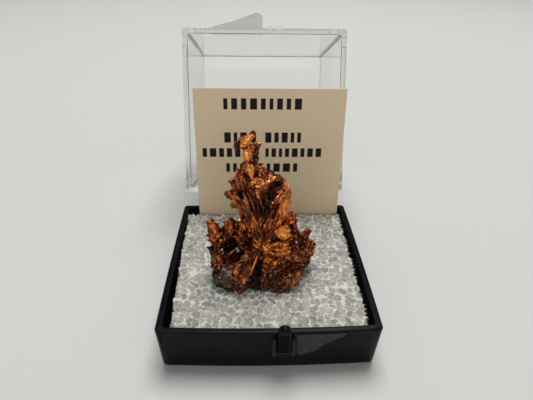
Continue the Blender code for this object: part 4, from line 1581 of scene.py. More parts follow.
    @staticmethod
    def coin_rings(centre: Point, radius: float, towards: Point, dish: float) -> list[np.ndarray]:
        """A round plate: a dished disc with a raised, uneven rim.

        Args:
            centre: Its middle.
            radius: Its reach.
            towards: Which way it faces.
            dish: How deep its middle lies under its rim.

        Returns:
            Rings from the middle of the front round to the back.
        """
        turns = np.linspace(0, 2 * math.pi, 36, endpoint=False)
        facing = Vector(towards).normalized()
        side = facing.cross(Vector((0, 0, 1))).normalized()
        up = side.cross(facing)
        uneven = 1.0 + 0.08 * np.sin(3 * turns + 1.0) + 0.05 * np.sin(7 * turns)
        profile = [(0.05, -dish), (0.3, 0.03 - dish), (0.52, -0.7 * dish), (0.72, 0.0), (0.86, 0.17)]
        profile += [(0.95, 0.2), (1.0, 0.06), (1.02, -0.14), (0.9, -0.7), (0.1, -0.9)]
        rings = []
        for share, height in profile:
            reach = radius * share * uneven
            lift = height + 0.035 * np.sin(5 * turns + share * 9.0)
            ring = np.cos(turns)[:, None] * np.array(side) + np.sin(turns)[:, None] * np.array(up) * 0.9
            rings.append(np.array(centre) + ring * reach[:, None] + lift[:, None] * np.array(facing))
        return rings

    def crystals(self, points: np.ndarray, normals: np.ndarray) -> Shell:
        """Small angular crystals that stand on the crumbly parts of the skin.

        Args:
            points: The skin's points.
            normals: Which way each faces.

        Returns:
            The crystals.
        """
        dice = np.random.default_rng(self.seed)
        weight = 1.05 - self.striation(points)
        weight = weight * (points[:, 2] > self.rest_level + 0.3) * (spots_at(points, STONY) < 0.5)
        clump = 0.5 + 0.5 * soft_noise(points * 0.8, self.seed + 90)
        weight = weight * clump**2 * (spots_at(points, POLISH_AND_PAINTED_LIGHT) < 0.2) * (points[:, 2] < 29.0)
        chosen = dice.choice(len(points), self.crystal_count, p=weight / weight.sum())
        shell = Shell()
        for index in chosen:
            size = dice.uniform(*self.crystal_sizes) * (1.0 + 0.8 * dice.random() ** 4)
            turn = np.linalg.qr(dice.normal(size=(3, 3)))[0]
            form, faces = CUBE if dice.random() < 0.55 else OCTAHEDRON
            stretch = np.array([1.0, dice.uniform(0.5, 1.0), dice.uniform(0.7, 1.8)])
            placed = (form * stretch * size) @ turn.T + points[index] + normals[index] * size * 0.15
            shell.add(placed, faces)
        return shell

    def grains(self) -> Shell:
        """The white quartz grains in the dark hollow and in the grey stone.

        Returns:
            The grains.
        """
        dice = np.random.default_rng(self.seed + 1)
        shell = Shell()
        spots = [((-7.73, -5.7, 14.75), 0.25), ((-5.2, -6.1, 15.25), 0.3), ((-5.0, -6.2, 14.9), 0.22)]
        spots.append(((4.7, -5.1, 15.75), 0.24))
        for _ in range(5):
            x, z = -7.0 + dice.uniform(-1.4, 1.2), 10.8 + dice.uniform(-1.8, 1.8)
            spots.append(((x, -8.3 + dice.uniform(0.0, 0.8), z), dice.uniform(0.1, 0.2)))
        for centre, size in spots:
            turn = np.linalg.qr(dice.normal(size=(3, 3)))[0]
            form, faces = OCTAHEDRON
            shell.add((form * np.array([1.0, 0.8, 1.3]) * size) @ turn.T + np.array(centre), faces)
        return shell


CUBE = (
    np.array([(x, y, z) for x in (-0.8, 0.8) for y in (-0.8, 0.8) for z in (-0.8, 0.8)]),
    ((0, 1, 3, 2), (4, 6, 7, 5), (0, 4, 5, 1), (2, 3, 7, 6), (0, 2, 6, 4), (1, 5, 7, 3)),
)
OCTAHEDRON = (
    np.array([(1.0, 0, 0), (-1.0, 0, 0), (0, 1.0, 0), (0, -1.0, 0), (0, 0, 1.0), (0, 0, -1.0)]),
    ((0, 2, 4), (2, 1, 4), (1, 3, 4), (3, 0, 4), (2, 0, 5), (1, 2, 5), (3, 1, 5), (0, 3, 5)),
)


# The box


def rounded_square(half: float, radius: float, z: float, steps: int) -> np.ndarray:
    """Points of a square with rounded corners, anticlockwise seen from above.

    Args:
        half: Half its side.
        radius: The corners' radius.
        z: Its height.
        steps: Points to a corner.

    Returns:
        The points.
    """
    rows = []
    for corner in range(4):
        for step in range(steps):
            angle = math.pi / 2 * (corner + step / (steps - 1))
            centre = math.pi / 2 * corner + math.pi / 4
            middle = math.sqrt(2) * (half - radius)
            rows.append(
                (
                    middle * math.cos(centre) + radius * math.cos(angle),
                    middle * math.sin(centre) + radius * math.sin(angle),
                    z,
                )
            )
    return np.array(rows)


@dataclass
class BaseTray:
    """The black base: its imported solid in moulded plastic, with the latch's finer forms."""

    front: float = -17.5 - FRONT_BOW
    latch_x: float = 2.2
    dome_radius: float = 0.97
    dome_z: float = 9.66

    def build(self, solid: bpy.types.Object, black: bpy.types.Material) -> list[bpy.types.Object]:
        """Dresses the solid and adds the latch's finer forms.

        Args:
            solid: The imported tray.
            black: The moulded plastic.

        Returns:
            The tray and the added pieces.
        """
        tray = dressed("tray_shell", self.bowed(solid), black, 24.0)
        attach(tray, Body.BASE, Slot.BLACK, "base_tray")
        detail = Shell()
        detail.add_rings(self.dome())
        piece = detail.to_object("latch_dome", black, 40.0)
        ledge = Shell()
        ledge.add_rings(self.sill())
        for side in (-1, 1):
            ledge.add_rings(self.cheek(side))
        # painted highlight: the sill and cheeks get a lighter black so that they read as lit edges round
        # the recess
        worn_or_lit = MouldedBlack(colour=(0.011, 0.012, 0.013), rubbed=(0.03, 0.032, 0.034))
        rim = ledge.to_object("latch_ledge", worn_or_lit.material("black plastic lightened as painted highlight"), 40.0)
        shade_panel = Shell()
        shade_panel.add_rings(self.recess())
        # painted shade: a dull dark panel stands out from the post where its recess lies in shade
        shade = shade_panel.to_object("latch_shade_panel", MouldedBlack().material("painted shade of the recess", 0.3), 40.0)
        return [tray] + [attach(made, Body.BASE, Slot.BLACK) for made in (piece, rim, shade)]

    def bowed(self, solid: bpy.types.Object) -> bpy.types.Mesh:
        """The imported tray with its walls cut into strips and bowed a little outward.

        Args:
            solid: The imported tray.

        Returns:
            The bowed mesh.
        """
        bm = bmesh.new()
        bm.from_mesh(solid.data)
        bmesh.ops.transform(bm, matrix=solid.matrix_world, verts=bm.verts)
        bmesh.ops.remove_doubles(bm, verts=bm.verts, dist=1e-6)
        for axis in (0, 1):
            facing = Vector((1.0 - axis, float(axis), 0.0))
            for cut in range(-16, 17, 2):
                everything = bm.verts[:] + bm.edges[:] + bm.faces[:]
                bmesh.ops.bisect_plane(bm, geom=everything, plane_co=facing * cut * MM, plane_no=facing)
        mesh = bpy.data.meshes.new("tray_shell")
        bm.to_mesh(mesh)
        bm.free()
        points = points_of(mesh)
        front = ramp(-points[:, 1], 13.0, 16.2) * wall_bow(points[:, 0], FRONT_BOW)
        side = ramp(np.abs(points[:, 0]), 13.0, 16.2) * wall_bow(points[:, 1], SIDE_BOW)
        points[:, 1] -= front
        points[:, 0] += np.sign(points[:, 0]) * side
        set_points(mesh, points)
        return mesh

    def sill(self) -> list[np.ndarray]:
        """The small ledge under the post's recess.

        Returns:
            Its rings.
        """
        low, high = self.latch_x - 1.25, self.latch_x + 1.25
        rings = []
        for z, proud in ((4.75, 0.7), (4.95, 1.05), (5.2, 1.12), (5.28, 1.05)):
            front, back = self.front - proud, self.front - 0.1
            rings.append(np.array([(low, front, z), (high, front, z), (high, back, z), (low, back, z)]))
        return rings

    def recess(self) -> list[np.ndarray]:
        """The post's face under its cap as a shallow arched panel in duller black, painted shade standing
        in for a hollow.

        Returns:
            Its rings.
        """
        half, low, high = 0.74, 5.45, 8.95
        outline = [(half, low), (half, high - 0.5)]
        turns = np.linspace(0.3, math.pi - 0.3, 9)
        outline += [(half * math.cos(t), high - 0.5 + 0.5 * math.sin(t)) for t in turns]
        outline += [(-half, high - 0.5), (-half, low)]
        rings = []
        for proud in (0.9, 0.985):
            ring = [(self.latch_x + x, self.front - proud, z) for x, z in outline]
            rings.append(np.array(ring))
        return rings

    def dome(self) -> list[np.ndarray]:
        """The rounded cap of the sprung post.

        Returns:
            Its rings.
        """
        turns = np.linspace(0, 2 * math.pi, 32, endpoint=False)
        rings = []
        for share, proud in ((1.0, 0.3), (1.0, 0.95), (0.93, 1.12), (0.75, 1.22), (0.4, 1.28)):
            x = self.latch_x + self.dome_radius * share * np.cos(turns)
            lift = self.dome_radius * share * np.sin(turns)
            z = self.dome_z + np.where(lift < 0, lift * 0.55, lift)
            rings.append(np.stack([x, np.full(len(turns), self.front - proud), z], axis=1))
        return rings

    def cheek(self, side: int) -> list[np.ndarray]:
        """A thin rib beside the post's recess.

        Args:
            side: -1 for the left one, 1 for the right.

        Returns:
            Its rings.
        """
        x = self.latch_x + side * 1.5
        rings = []
        for z, proud in ((3.7, 0.42), (4.0, 0.56), (7.2, 0.58), (7.6, 0.44)):
            low, high = x - 0.28, x + 0.28
            y, back = self.front - proud, self.front - 0.2
            rings.append(np.array([(low, y, z), (high, y, z), (high, back, z), (low, back, z)]))
        return rings


@dataclass
class ClearCover:
    """The clear lid with its ears and snap ribs."""

    half: float = 17.25
    draft: float = 0.25
    wall: float = 1.15
    rim: float = 8.6
    top: float = 37.8
    outer_corner: float = 0.65
    inner_corner: float = 0.45
    inner_round: float = 0.25
    ear_x: tuple[float, float] = (9.0, 10.6)
    ear_radius: float = 1.25
    pin_end: float = 12.6
    pin_radius: float = 0.7
    rib_x: tuple[float, float] = (1.05, 2.83)
    rib_half: float = 0.6
    rib_proud: float = 0.5
    rib_z: float = 9.2

    def build(self, clear: bpy.types.Material, open_deg: float) -> bpy.types.Object:
        """Builds the lid, opened by an angle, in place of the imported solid.

        Args:
            clear: The clear plastic.
            open_deg: How far the lid stands open.

        Returns:
            The piece.
        """
        meshes = []
        for number, rings in enumerate([self.cover(), *self.ears(), *self.ribs()]):
            form = Shell()
            form.add_rings(rings)
            mesh = bpy.data.meshes.new(f"lid_form_{number}")
            mesh.from_pydata((form.array() * MM).tolist(), [], form.faces)
            outward(mesh)
            meshes.append(mesh)
        whole = united(meshes[0], meshes[1:])
        set_points(whole, opened(points_of(whole), open_deg))
        piece = dressed("clear_cover", whole, clear, 32.0)
        weighted = piece.modifiers.new("flat faces stay flat", "WEIGHTED_NORMAL")
        weighted.keep_sharp = True
        weighted.weight = 100
        return attach(piece, Body.LID, Slot.CLEAR, "lid")

    def cover(self) -> list[np.ndarray]:
        """Sections of the cover from its top outside down to the rim and up inside.

        Returns:
            Its rings.
        """
        narrow = self.half - self.draft
        inside = self.half - self.wall
        ceiling = self.top - self.wall
        steps = 9
        rings = [
            rounded_square(narrow - 0.12, self.outer_corner - 0.12, self.top, steps),
            rounded_square(narrow, self.outer_corner, self.top - 0.12, steps),
            rounded_square(self.half, self.outer_corner, self.rim + 0.08, steps),
            rounded_square(self.half - 0.08, self.outer_corner - 0.08, self.rim, steps),
            rounded_square(inside + 0.08, self.inner_corner + 0.08, self.rim, steps),
            rounded_square(inside, self.inner_corner, self.rim + 0.08, steps),
        ]
        for turn in np.linspace(0.0, math.pi / 2, 7):
            inset = self.inner_round * (1.0 - math.cos(turn))
            height = ceiling - self.inner_round * (1.0 - math.sin(turn))
            half = inside - self.draft - inset
            rings.append(rounded_square(half, self.inner_corner - inset, height, steps))
        return rings

    def ears(self) -> list[list[np.ndarray]]:
        """Two ears behind the back wall, their round ends and their stub pins.

        Returns:
            The rings of each form.
        """
        wall = self.half - HINGE_Y
        arm = [(wall - 0.5, -0.35), (-0.9, -0.35), (0.0, -0.9), (0.6, 0.9), (-0.3, 1.2), (wall - 0.5, 1.6)]
        forms = []
        for side in (-1, 1):
            low, high = sorted((side * self.ear_x[0], side * self.ear_x[1]))
            forms.append(self.prism(arm, low, high))
            forms.append(self.prism(self.circle(self.ear_radius), low + 0.02, high - 0.02))
            stub = sorted((side * (self.ear_x[1] - 0.6), side * self.pin_end))
            forms.append(self.prism(self.circle(self.pin_radius), *stub))
        return forms

    def ribs(self) -> list[list[np.ndarray]]:
        """Two short ribs on the front rim that snap under the post.

        Returns:
            The rings of each rib.
        """
        front = -self.half - HINGE_Y
        low = self.rib_z - HINGE_Z
        outline = [(front + 0.3, low + 0.5)]
        for turn in np.radians(np.arange(90.0, 271.0, 20.0)):
            outline.append((front + self.rib_proud * math.cos(turn), low + 0.5 * math.sin(turn)))
        outline.append((front + 0.3, low - 0.5))
        return [self.prism(outline, x - self.rib_half, x + self.rib_half) for x in self.rib_x]

    @staticmethod
    def circle(radius: float) -> list[tuple[float, float]]:
        """A circle about the hinge axis."""
        turns = np.linspace(0, 2 * math.pi, 28, endpoint=False)
        return [(radius * math.cos(t), radius * math.sin(t)) for t in turns]

    @staticmethod
    def prism(outline: Sequence[tuple[float, float]], low: float, high: float) -> list[np.ndarray]:
        """The two ends of a prism across the box, from an outline about the hinge axis."""
        return [np.array([(x, HINGE_Y + y, HINGE_Z + z) for y, z in outline]) for x in (low, high)]


@dataclass
class FoamBlock:
    """The foam pad: a torn open-cell top, ragged edges and a seat for the specimen."""

    top: float = 7.8
    bottom: float = 1.4
    columns: int = 276
    rows: int = 268
    cell_mm: float = 1.12
    wisps: int = 620
    left: tuple[tuple[float, float], ...] = (
        (-16.3, -15.3), (-12.6, -15.4), (-7.0, -15.65), (-2.0, -15.9), (14.9, -16.3),
    )
    right: tuple[tuple[float, float], ...] = ((-16.3, 15.0), (-12.8, 15.55), (-3.4, 15.6), (14.9, 15.75))
    front_y: float = -16.3
    back_y: float = 14.75
    seed: int = 7

    def build(self, foam: bpy.types.Material, seat: np.ndarray) -> bpy.types.Object:
        """Builds the pad.

        Args:
            foam: The foam's material.
            seat: Points of the specimen near the foam, in millimetres.

        Returns:
            The piece.
        """
        shell = Shell()
        grid = self.outline_grid()
        relief, depth, stain = self.surface(grid, seat)
        grid[:, 2] = self.top + relief
        self.add_block(shell, grid)
        self.add_wisps(shell)
        piece = shell.to_object("foam_block", foam, 60.0)
        total = len(piece.data.vertices)
        columns = []
        # the first channel darkens the cells as painted shade; the third is painted shade on the sides and
        # strands, none on the top
        for values, rest in ((depth, 0.12), (stain, 0.0), (np.zeros(len(depth)), 0.35)):
            column = np.full(total, rest)
            column[: len(values)] = values
            columns.append(column)
        store_colours(piece.data, "pattern", columns)
        attach(piece, Body.BASE, Slot.FOAM, "foam_pad")
        return piece

    def outline_grid(self) -> np.ndarray:
        """A grid over the top, from ragged edge to ragged edge.

        Returns:
            The grid's points, row by row.
        """
        u = np.linspace(0.0, 1.0, self.columns)
        v = np.linspace(0.0, 1.0, self.rows)
        y = self.front_y + v * (self.back_y - self.front_y)
        rags = []
        for k in (1, 2):
            probe = np.stack([y * 1.5, y * 0.0 + k, y * 0.0], axis=1)
            rags.append(0.22 * layered_noise(probe, self.seed + k, 3))
        low = np.interp(y, *np.array(self.left).T) + rags[0]
        high = np.interp(y, *np.array(self.right).T) + rags[1]
        x = low[:, None] + (high - low)[:, None] * u[None, :]
        probe = np.stack([x[0] * 1.5, x[0] * 0, x[0] * 0 + 3], axis=1)
        fringe = 0.16 * layered_noise(probe, self.seed + 5, 3)
        ends = np.minimum(v, 1 - v)[:, None] < 0.02
        rows = y[:, None] + np.where(ends, fringe[None, :], 0.0)
        rows = rows - ramp(-rows, 9.0, 16.3) * wall_bow(x, FRONT_BOW)
        return np.stack([x.ravel(), rows.ravel(), np.zeros(x.size)], axis=1)

    def surface(self, grid: np.ndarray, seat: np.ndarray) -> tuple[np.ndarray, np.ndarray, np.ndarray]:
        """Height, cell depth and stain over the grid.

        Args:
            grid: Places on the top.
            seat: Points of the specimen near the foam.

        Returns:
            Height above the top in millimetres, and two masks from 0 to 1.
        """
        flat = grid.copy()
        flat[:, 2] = 0.0
        bend = 0.42 * np.stack([soft_noise(flat * 0.7, self.seed + k) for k in (11, 12, 13)], axis=1)
        bent = (flat + bend) / self.cell_mm * np.array([1.0, 0.86, 1.0])
        first, second, label = cell_noise(bent, self.seed, flat=True)
        thick = 0.055 + 0.08 * soft_noise(flat * 1.3, self.seed + 15)
        open_cell = ramp(second - first - thick, -0.04, 0.14) * (1.0 - 0.75 * ramp(first, 0.46, 0.66))
        deep = open_cell * (0.62 + 0.38 * label)
        fine = layered_noise(flat * 3.0, self.seed + 21, 2)
        broad = soft_noise(flat * 0.22, self.seed + 22)
        pressed, ring = self.seat_fields(flat, seat)
        height = 0.16 - 0.34 * deep + 0.07 * fine + 0.12 * broad
        height = height * (1.0 - 0.6 * pressed) + 0.16 * ring - 0.18 * pressed
        stain = ring * (spots_at(flat + np.array([0, 0, 8.0]), STAINED) > 0.05)
        return height, np.clip(deep + 0.15 * fine, 0, 1), stain

    def seat_fields(self, flat: np.ndarray, seat: np.ndarray) -> tuple[np.ndarray, np.ndarray]:
        """How far the specimen presses on the foam, and the ring around it.

        Args:
            flat: Places on the top.
            seat: Points of the specimen near the foam.

        Returns:
            Two masks from 0 to 1.
        """
        bins = 120
        span = [[-17.0, 17.0], [-17.0, 17.0]]
        held = np.histogram2d(seat[:, 0], seat[:, 1], bins=bins, range=span)[0] > 0
        share = held.astype(float)
        for _ in range(4):
            beside = np.roll(share, 1, 0) + np.roll(share, -1, 0)
            share = (share + beside + np.roll(share, 1, 1) + np.roll(share, -1, 1)) / 5
        index = np.clip(((flat[:, :2] + 17.0) / 34.0 * bins).astype(int), 0, bins - 1)
        share = share[index[:, 0], index[:, 1]]
        return ramp(share, 0.35, 0.9), 4.0 * share * (1.0 - share)

    def add_block(self, shell: Shell, grid: np.ndarray) -> None:
        """Adds the top with its sides and bottom as one closed form.

        Args:
            shell: Takes the form.
            grid: The top's points, row by row.
        """
        n, m = self.rows, self.columns
        faces: list[tuple[int, ...]] = []
        for r in range(n - 1):
            start = r * m
            faces += [(start + c, start + c + 1, start + m + c + 1, start + m + c) for c in range(m - 1)]
        rim = list(range(m)) + [r * m + m - 1 for r in range(1, n)]
        rim += [(n - 1) * m + c for c in range(m - 2, -1, -1)] + [r * m for r in range(n - 2, 0, -1)]
        edge = grid[rim]
        rows = [edge]
        for z, inset in ((6.9, 0.12), (5.4, 0.2), (3.4, 0.24), (self.bottom, 0.3)):
            row = edge.copy()
            row[:, :2] *= 1.0 - inset / 16.0
            probe = np.stack([edge[:, 0], edge[:, 1], edge[:, 0] * 0 + z], axis=1) * 1.3
            rag = 0.12 * layered_noise(probe, self.seed + 30, 2)
            row[:, :2] *= (1.0 + rag / 16.0)[:, None]
            row[:, 2] = z
            rows.append(row)
        count = len(rim)
        base = n * m
        for level in range(len(rows) - 1):
            for k in range(count):
                j = (k + 1) % count
                low = base + level * count
                high = low - count
                upper = (rim[k], rim[j]) if level == 0 else (high + k, high + j)
                lower = (low + k, low + j)
                faces.append((upper[1], upper[0], lower[0], lower[1]))
        faces.append(tuple(base + (len(rows) - 2) * count + k for k in range(count))[::-1])
        shell.add(np.concatenate([grid] + rows[1:]), faces)

    def add_wisps(self, shell: Shell) -> None:
        """Adds torn strands along the edges, most of them outward.

        Args:
            shell: Takes the strands.
        """
        dice = np.random.default_rng(self.seed)
        for _ in range(self.wisps):
            edge = dice.choice(4, p=[0.36, 0.34, 0.2, 0.1])
            t = dice.random()
            y = self.front_y + t * (self.back_y - self.front_y)
            if edge == 0:
                root, away = (np.interp(y, *np.array(self.right).T), y), (1.0, dice.normal(0, 0.35))
            elif edge == 1:
                root, away = (np.interp(y, *np.array(self.left).T), y), (-1.0, dice.normal(0, 0.35))
            else:
                x = -15.6 + 31.2 * t
                sign = -1.0 if edge == 2 else 1.0
                root, away = (x, self.front_y if edge == 2 else self.back_y), (dice.normal(0, 0.35), sign)
            reach = 0.15 + 0.5 * dice.random() ** 1.5
            reach *= 0.4 if edge in (1, 2) else 1.0
            height = self.top - 0.1 - 0.5 * dice.random() ** 2
            start = np.array([root[0] - 0.2 * away[0], root[1] - 0.2 * away[1], height])
            way = np.array([away[0], away[1], dice.normal(0.15, 0.4)])
            way /= np.linalg.norm(way)
            self.add_wisp(shell, start, way, 0.2 + reach, dice.uniform(0.05, 0.11), dice)

    @staticmethod
    def add_wisp(
        shell: Shell,
        start: np.ndarray,
        way: np.ndarray,
        length: float,
        width: float,
        dice: np.random.Generator,
    ) -> None:
        """Adds one tapering strand of five sides.

        Args:
            shell: Takes the strand.
            start: Its root.
            way: Its direction.
            length: Its length.
            width: Its radius at the root.
            dice: Gives how far it sags.
        """
        side = np.cross(way, np.array([0.0, 0.0, 1.0]))
        side /= max(np.linalg.norm(side), 1e-6)
        up = np.cross(side, way)
        sag = dice.normal(0, 0.12)
        rings = []
        for share, thick in ((0.0, 1.0), (0.5, 0.75), (1.0, 0.18)):
            centre = start + way * length * share + up * sag * share**2
            turns = np.linspace(0, 2 * math.pi, 5, endpoint=False)
            ring = np.cos(turns)[:, None] * side + np.sin(turns)[:, None] * up * 0.7
            rings.append(centre + ring * width * thick)
        shell.add_rings(rings)


@dataclass
class LabelCard:
    """The leaning card with rows of plain dark marks where it carries print."""

    width: float = 29.86
    above: float = 26.0
    below: float = 6.6
    thick: float = 0.3
    x: float = 0.83
    y: float = 15.4
    z: float = 8.5
    lean_deg: float = 7.5
    keep: float = 0.05
    rows: tuple[tuple[float, float, float, float, tuple[int, ...]], ...] = (
        (-9.1, 6.2, 21.95, 24.1, (9,)),
        (-9.1, 6.3, 15.25, 17.35, (4, 5)),
        (-13.6, 10.6, 12.2, 14.05, (7, 8)),
        (-8.9, 5.8, 8.95, 10.8, (9,)),
    )
    seed: int = 3

    def placed(self, points: np.ndarray) -> np.ndarray:
        """Leans points of the upright card back and puts them in the box.

        Args:
            points: Points of the upright card.

        Returns:
            Where they are in the box.
        """
        lean = math.radians(self.lean_deg)
        bowed = points[:, 1] + 0.05 * (points[:, 0] / 15.0) ** 2
        y = self.y + bowed * math.cos(lean) + points[:, 2] * math.sin(lean)
        z = self.z - bowed * math.sin(lean) + points[:, 2] * math.cos(lean)
        return np.stack([points[:, 0] + self.x, y, z], axis=1)

    def build(self, card: bpy.types.Material, ink: bpy.types.Material) -> list[bpy.types.Object]:
        """Builds the board and its marks.

        Args:
            card: The card stock.
            ink: The print.

        Returns:
            The pieces.
        """
        board = Shell()
        board.add_rings(self.board_rings())
        marks = Shell()
        for row in self.rows:
            self.add_marks(marks, *row)
        pieces = [board.to_object("card_board", card, 40.0), marks.to_object("card_marks", ink, 40.0)]
        attach(pieces[0], Body.BASE, Slot.CARD, "label_card")
        attach(pieces[1], Body.BASE, Slot.CARD)
        for piece in pieces:
            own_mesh(piece)
        return pieces

    def board_rings(self) -> list[np.ndarray]:
        """Sections of the board from side to side, with slightly rounded cut edges.

        Returns:
            Its rings.
        """
        half = self.width / 2
        xs = [-half, -half + 0.05] + list(np.linspace(-half + 0.6, half - 0.6, 22)) + [half - 0.05, half]
        rings = []
        for k, x in enumerate(xs):
            pull = 0.05 if k in (0, len(xs) - 1) else 0.0
            low, high = -self.below + pull, self.above - pull
            front, back = pull, self.thick - pull
            heights = np.linspace(low + 0.05, high - 0.05, 14)
            ring = [(x, front + 0.05, low)] + [(x, front, h) for h in heights] + [(x, front + 0.05, high)]
            ring += [(x, back - 0.05, high)] + [(x, back, h) for h in heights[::-1]]
            ring += [(x, back - 0.05, low)]
            rings.append(self.placed(np.array(ring)))
        return rings

    def add_marks(
        self, shell: Shell, left: float, right: float, low: float, high: float, words: tuple[int, ...]
    ) -> None:
        """Adds one row of plain upright blocks, grouped as print is.

        Args:
            shell: Takes the marks.
            left: The row's left end.
            right: Its right end.
            low: Its foot.
            high: Its top.
            words: How many marks each group has.
        """
        dice = np.random.default_rng(self.seed + int(high * 10))
        widths = [list(dice.uniform(0.4, 0.95, count)) for count in words]
        spaces = sum(len(word) - 1 for word in widths) * 0.42 + (len(words) - 1) * 1.3
        scale = (right - left) / (sum(map(sum, widths)) + spaces)
        x = left
        for word in widths:
            for wide in word:
                self.add_block(shell, x, x + wide * scale, low, high)
                x += (wide + 0.42) * scale
            x += (1.3 - 0.42) * scale

    def add_block(self, shell: Shell, left: float, right: float, low: float, high: float) -> None:
        """Adds one mark, a hair proud of the card.

        Args:
            shell: Takes the mark.
            left: Its left side.
            right: Its right side.
            low: Its foot.
            high: Its top.
        """
        cut = 0.06
        outline = [(left + cut, low), (right - cut, low), (right, low + cut), (right, high - cut)]
        outline += [(right - cut, high), (left + cut, high), (left, high - cut), (left, low + cut)]
        rings = [self.placed(np.array([(x, y, z) for x, z in outline])) for y in (0.02, -0.012)]
        shell.add_rings(rings)


@dataclass
class SealFilms:
    """The two remnants of the seal: creased film on the base and on the lid's rim."""

    thick: float = 0.06

    def sheet(
        self, name: str, corners: Callable, film: bpy.types.Material, ripple: float
    ) -> bpy.types.Object:
        """Builds a thin closed sheet over a grid.

        Args:
            name: The piece's name.
            corners: Gives the place and facing at u and v from 0 to 1.
            film: The film's material.
            ripple: Height of its creases in millimetres.

        Returns:
            The object.
        """
        n = 26
        front, back = [], []
        for i in range(n):
            for j in range(n):
                spot, facing = corners(j / (n - 1), i / (n - 1))
                probe = np.array([[spot[0] * 0.9, spot[1] * 0.9, spot[2] * 0.9]])
                lift = ripple * float(layered_noise(probe, 77, 2)[0])
                front.append(np.array(spot) + np.array(facing) * (lift + self.thick))
                back.append(np.array(spot) + np.array(facing) * lift)
        faces = []
        for i in range(n - 1):
            for j in range(n - 1):
                a = i * n + j
                faces.append((a, a + 1, a + n + 1, a + n))
                faces.append((n * n + a, n * n + a + n, n * n + a + n + 1, n * n + a + 1))
        rim = list(range(n)) + [k * n + n - 1 for k in range(1, n)]
        rim += [(n - 1) * n + k for k in range(n - 2, -1, -1)] + [k * n for k in range(n - 2, 0, -1)]
        for here, ahead in zip(rim, rim[1:] + rim[:1]):
            faces.append((here, n * n + here, n * n + ahead, ahead))
        shell = Shell()
        shell.add(np.array(front + back), faces)
        return shell.to_object(name, film, 50.0)

    def build(
        self, base_film: bpy.types.Material, lid_film: bpy.types.Material, open_deg: float
    ) -> list[bpy.types.Object]:
        """Builds both remnants.

        Args:
            base_film: Dresses the piece on the base.
            lid_film: Dresses the piece on the lid.
            open_deg: How far the lid stands open.

        Returns:
            The pieces.
        """
        def on_base(u: float, v: float) -> tuple[Point, Point]:
            """A place and a facing on the remnant on the base."""
            left, right = 4.22 - 0.3 * v, 4.9 + 6.9 * v**0.8 + 0.25 * math.sin(9.0 * v)
            x = left + (right - left) * u
            z = 3.3 + 4.85 * v + 0.25 * math.sin(4.0 * u) * (1.0 - v)
            y = -17.54 + 0.044 * (8.5 - z) - float(wall_bow(np.array(x), FRONT_BOW))
            return (x, y, z), (0.0, -1.0, 0.05)

        def on_lid(u: float, v: float) -> tuple[Point, Point]:
            """A place and a facing on the remnant that folds over the lid's rim."""
            if v < 0.5:
                x, y, z, out = -11.6 + 11.1 * u, -36.3, -0.4 + 3.0 * (1 - 2 * v), (-1.0, 0.0)
            else:
                t = 2 * v - 1
                away = 0.9 * (1.0 - math.exp(-14.0 * t)) + 1.45 * t
                left = -11.6 + 9.6 * (away / 2.35) ** 0.93
                right = -0.5 - 0.8 * t**6
                curl = 0.35 * math.sin(math.pi * t) ** 2 * u
                x, y, z = left + (right - left) * u, -36.33 - away, -0.4 - 2.15 * t**1.3 + curl * 0.4
                out = (-0.68, 0.73)
            y, z = HINGE_Y + y, HINGE_Z + z
            ends = np.array([(x, y, z), (x, y + out[0], z + out[1])])
            spot, tip = opened(ends, open_deg)
            return tuple(spot), tuple(tip - spot)

        base = self.sheet("film_on_base", on_base, base_film, 0.03)
        lid = self.sheet("film_on_lid", on_lid, lid_film, 0.04)
        attach(base, Body.BASE, Slot.FILM, "seal_film_base")
        attach(lid, Body.LID, Slot.FILM, "seal_film_lid")
        return [base, lid]


# The studio


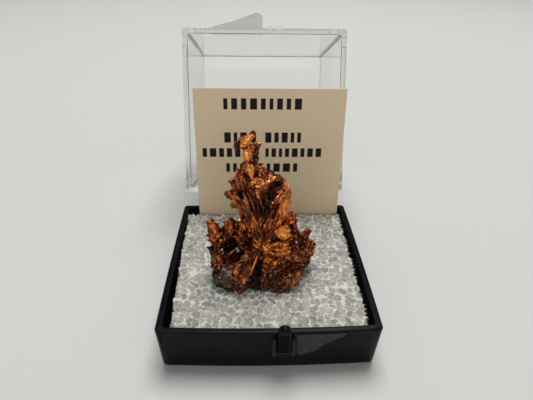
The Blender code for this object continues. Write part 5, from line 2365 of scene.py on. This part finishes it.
@dataclass
class Studio:
    """A pale floor, soft light from above and behind, and the camera."""

    floor_size: float = 6.0
    floor_colour: Colour = (0.755, 0.757, 0.728)
    front_colour: Colour = (0.71, 0.68, 0.625)
    cloud_colour: Colour = (0.77, 0.76, 0.745)
    sky: Colour = (0.98, 0.99, 1.0)
    sky_strength: float = 0.21
    view: View = View()

    def build(self) -> None:
        """Makes the floor, the lights and the camera, and sets plain colours."""
        self.floor()
        self.world()
        self.lamp("overhead", (60.0, 280.0, 880.0), (480.0, 480.0), 5.85)
        self.lamp("front", (-100.0, -850.0, 240.0), (1300.0, 380.0), 2.0)
        self.camera()
        bpy.context.scene.view_settings.view_transform = "Standard"

    def floor(self) -> None:
        """A large pale floor."""
        paint = Paint("pale floor")
        grain = paint.noise(paint.place(), 0.9, 4.0)
        cloud = paint.noise(paint.place(), 0.008, 2.0)
        shade = paint.mix(cloud * 0.2, self.floor_colour, self.cloud_colour)
        shade = paint.mix(paint.step(paint.along(1), -110.0, 0.0), self.front_colour, shade)
        relief = paint.bump(grain, 0.01, 0.2)
        sockets = {"Base Color": shade, "Roughness": 0.75, "Normal": relief, "Specular IOR Level": 0.3}
        material = paint.finish(sockets)
        half = self.floor_size / 2
        mesh = bpy.data.meshes.new("floor")
        corners = [(-half, -half, 0), (half, -half, 0), (half, half, 0), (-half, half, 0)]
        mesh.from_pydata(corners, [], [(0, 1, 2, 3)])
        floor = dressed("floor", mesh, material, 0.0)

    def world(self) -> None:
        """An even pale sky."""
        world = bpy.data.worlds.new("studio")
        world.use_nodes = True
        shade = world.node_tree.nodes["Background"]
        shade.inputs["Color"].default_value = (*self.sky, 1.0)
        shade.inputs["Strength"].default_value = self.sky_strength
        bpy.context.scene.world = world

    @staticmethod
    def lamp(name: str, at: Point, sides: tuple[float, float], watts: float) -> None:
        """A soft light that faces the box, as wide and high as its sides say.

        Args:
            name: The light's name.
            at: Where it stands, in millimetres.
            sides: Its width and height in millimetres.
            watts: Its power.
        """
        data = bpy.data.lights.new(name, "AREA")
        data.shape = "RECTANGLE"
        data.size, data.size_y = sides[0] * MM, sides[1] * MM
        data.energy = watts
        lamp = bpy.data.objects.new(name, data)
        lamp.location = Vector(at) * MM
        lamp.rotation_mode = "QUATERNION"
        lamp.rotation_quaternion = (-Vector(at)).to_track_quat("-Z", "Y")
        bpy.context.scene.collection.objects.link(lamp)

    def camera(self) -> None:
        """The camera, where the view says."""
        data = bpy.data.cameras.new("camera")
        data.lens = self.view.lens
        data.sensor_width = self.view.sensor
        data.clip_start = 0.001
        data.clip_end = 20.0
        camera = bpy.data.objects.new("camera", data)
        camera.rotation_mode = "QUATERNION"
        camera.rotation_quaternion = Matrix(self.view.axes()).transposed().to_quaternion()
        camera.location = Vector(self.view.eye) * MM
        bpy.context.scene.collection.objects.link(camera)
        bpy.context.scene.camera = camera


def main() -> None:
    """Builds and dresses every sub-assembly around the frame."""
    logging.basicConfig(level=logging.INFO, format="%(name)s %(message)s")
    for obj in list(bpy.data.objects):
        bpy.data.objects.remove(obj)
    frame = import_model()
    nodes = frame["nodes"]
    open_deg = frame["joints"][0]["range_deg"][1]
    specimen = CopperSpecimen()
    copper = specimen.build(nodes["native_copper"], TarnishedCopper().material(), QuartzGlass().material())
    skin = points_of(copper[0].data)
    FoamBlock().build(OpenFoam().material(), skin[skin[:, 2] < 8.5])
    BaseTray().build(nodes["base_tray"], MouldedBlack().material())
    ClearCover().build(ClearLid().material(), open_deg)
    LabelCard().build(CreamCard().material(), PrintInk().material())
    grey = DustyFilm(colour=(0.035, 0.034, 0.032), dust=(0.20, 0.195, 0.185), opacity=0.55)
    SealFilms().build(grey.material("film on black"), DustyFilm().material("film on clear"), open_deg)
    Studio().build()


if __name__ == "__main__":
    main()
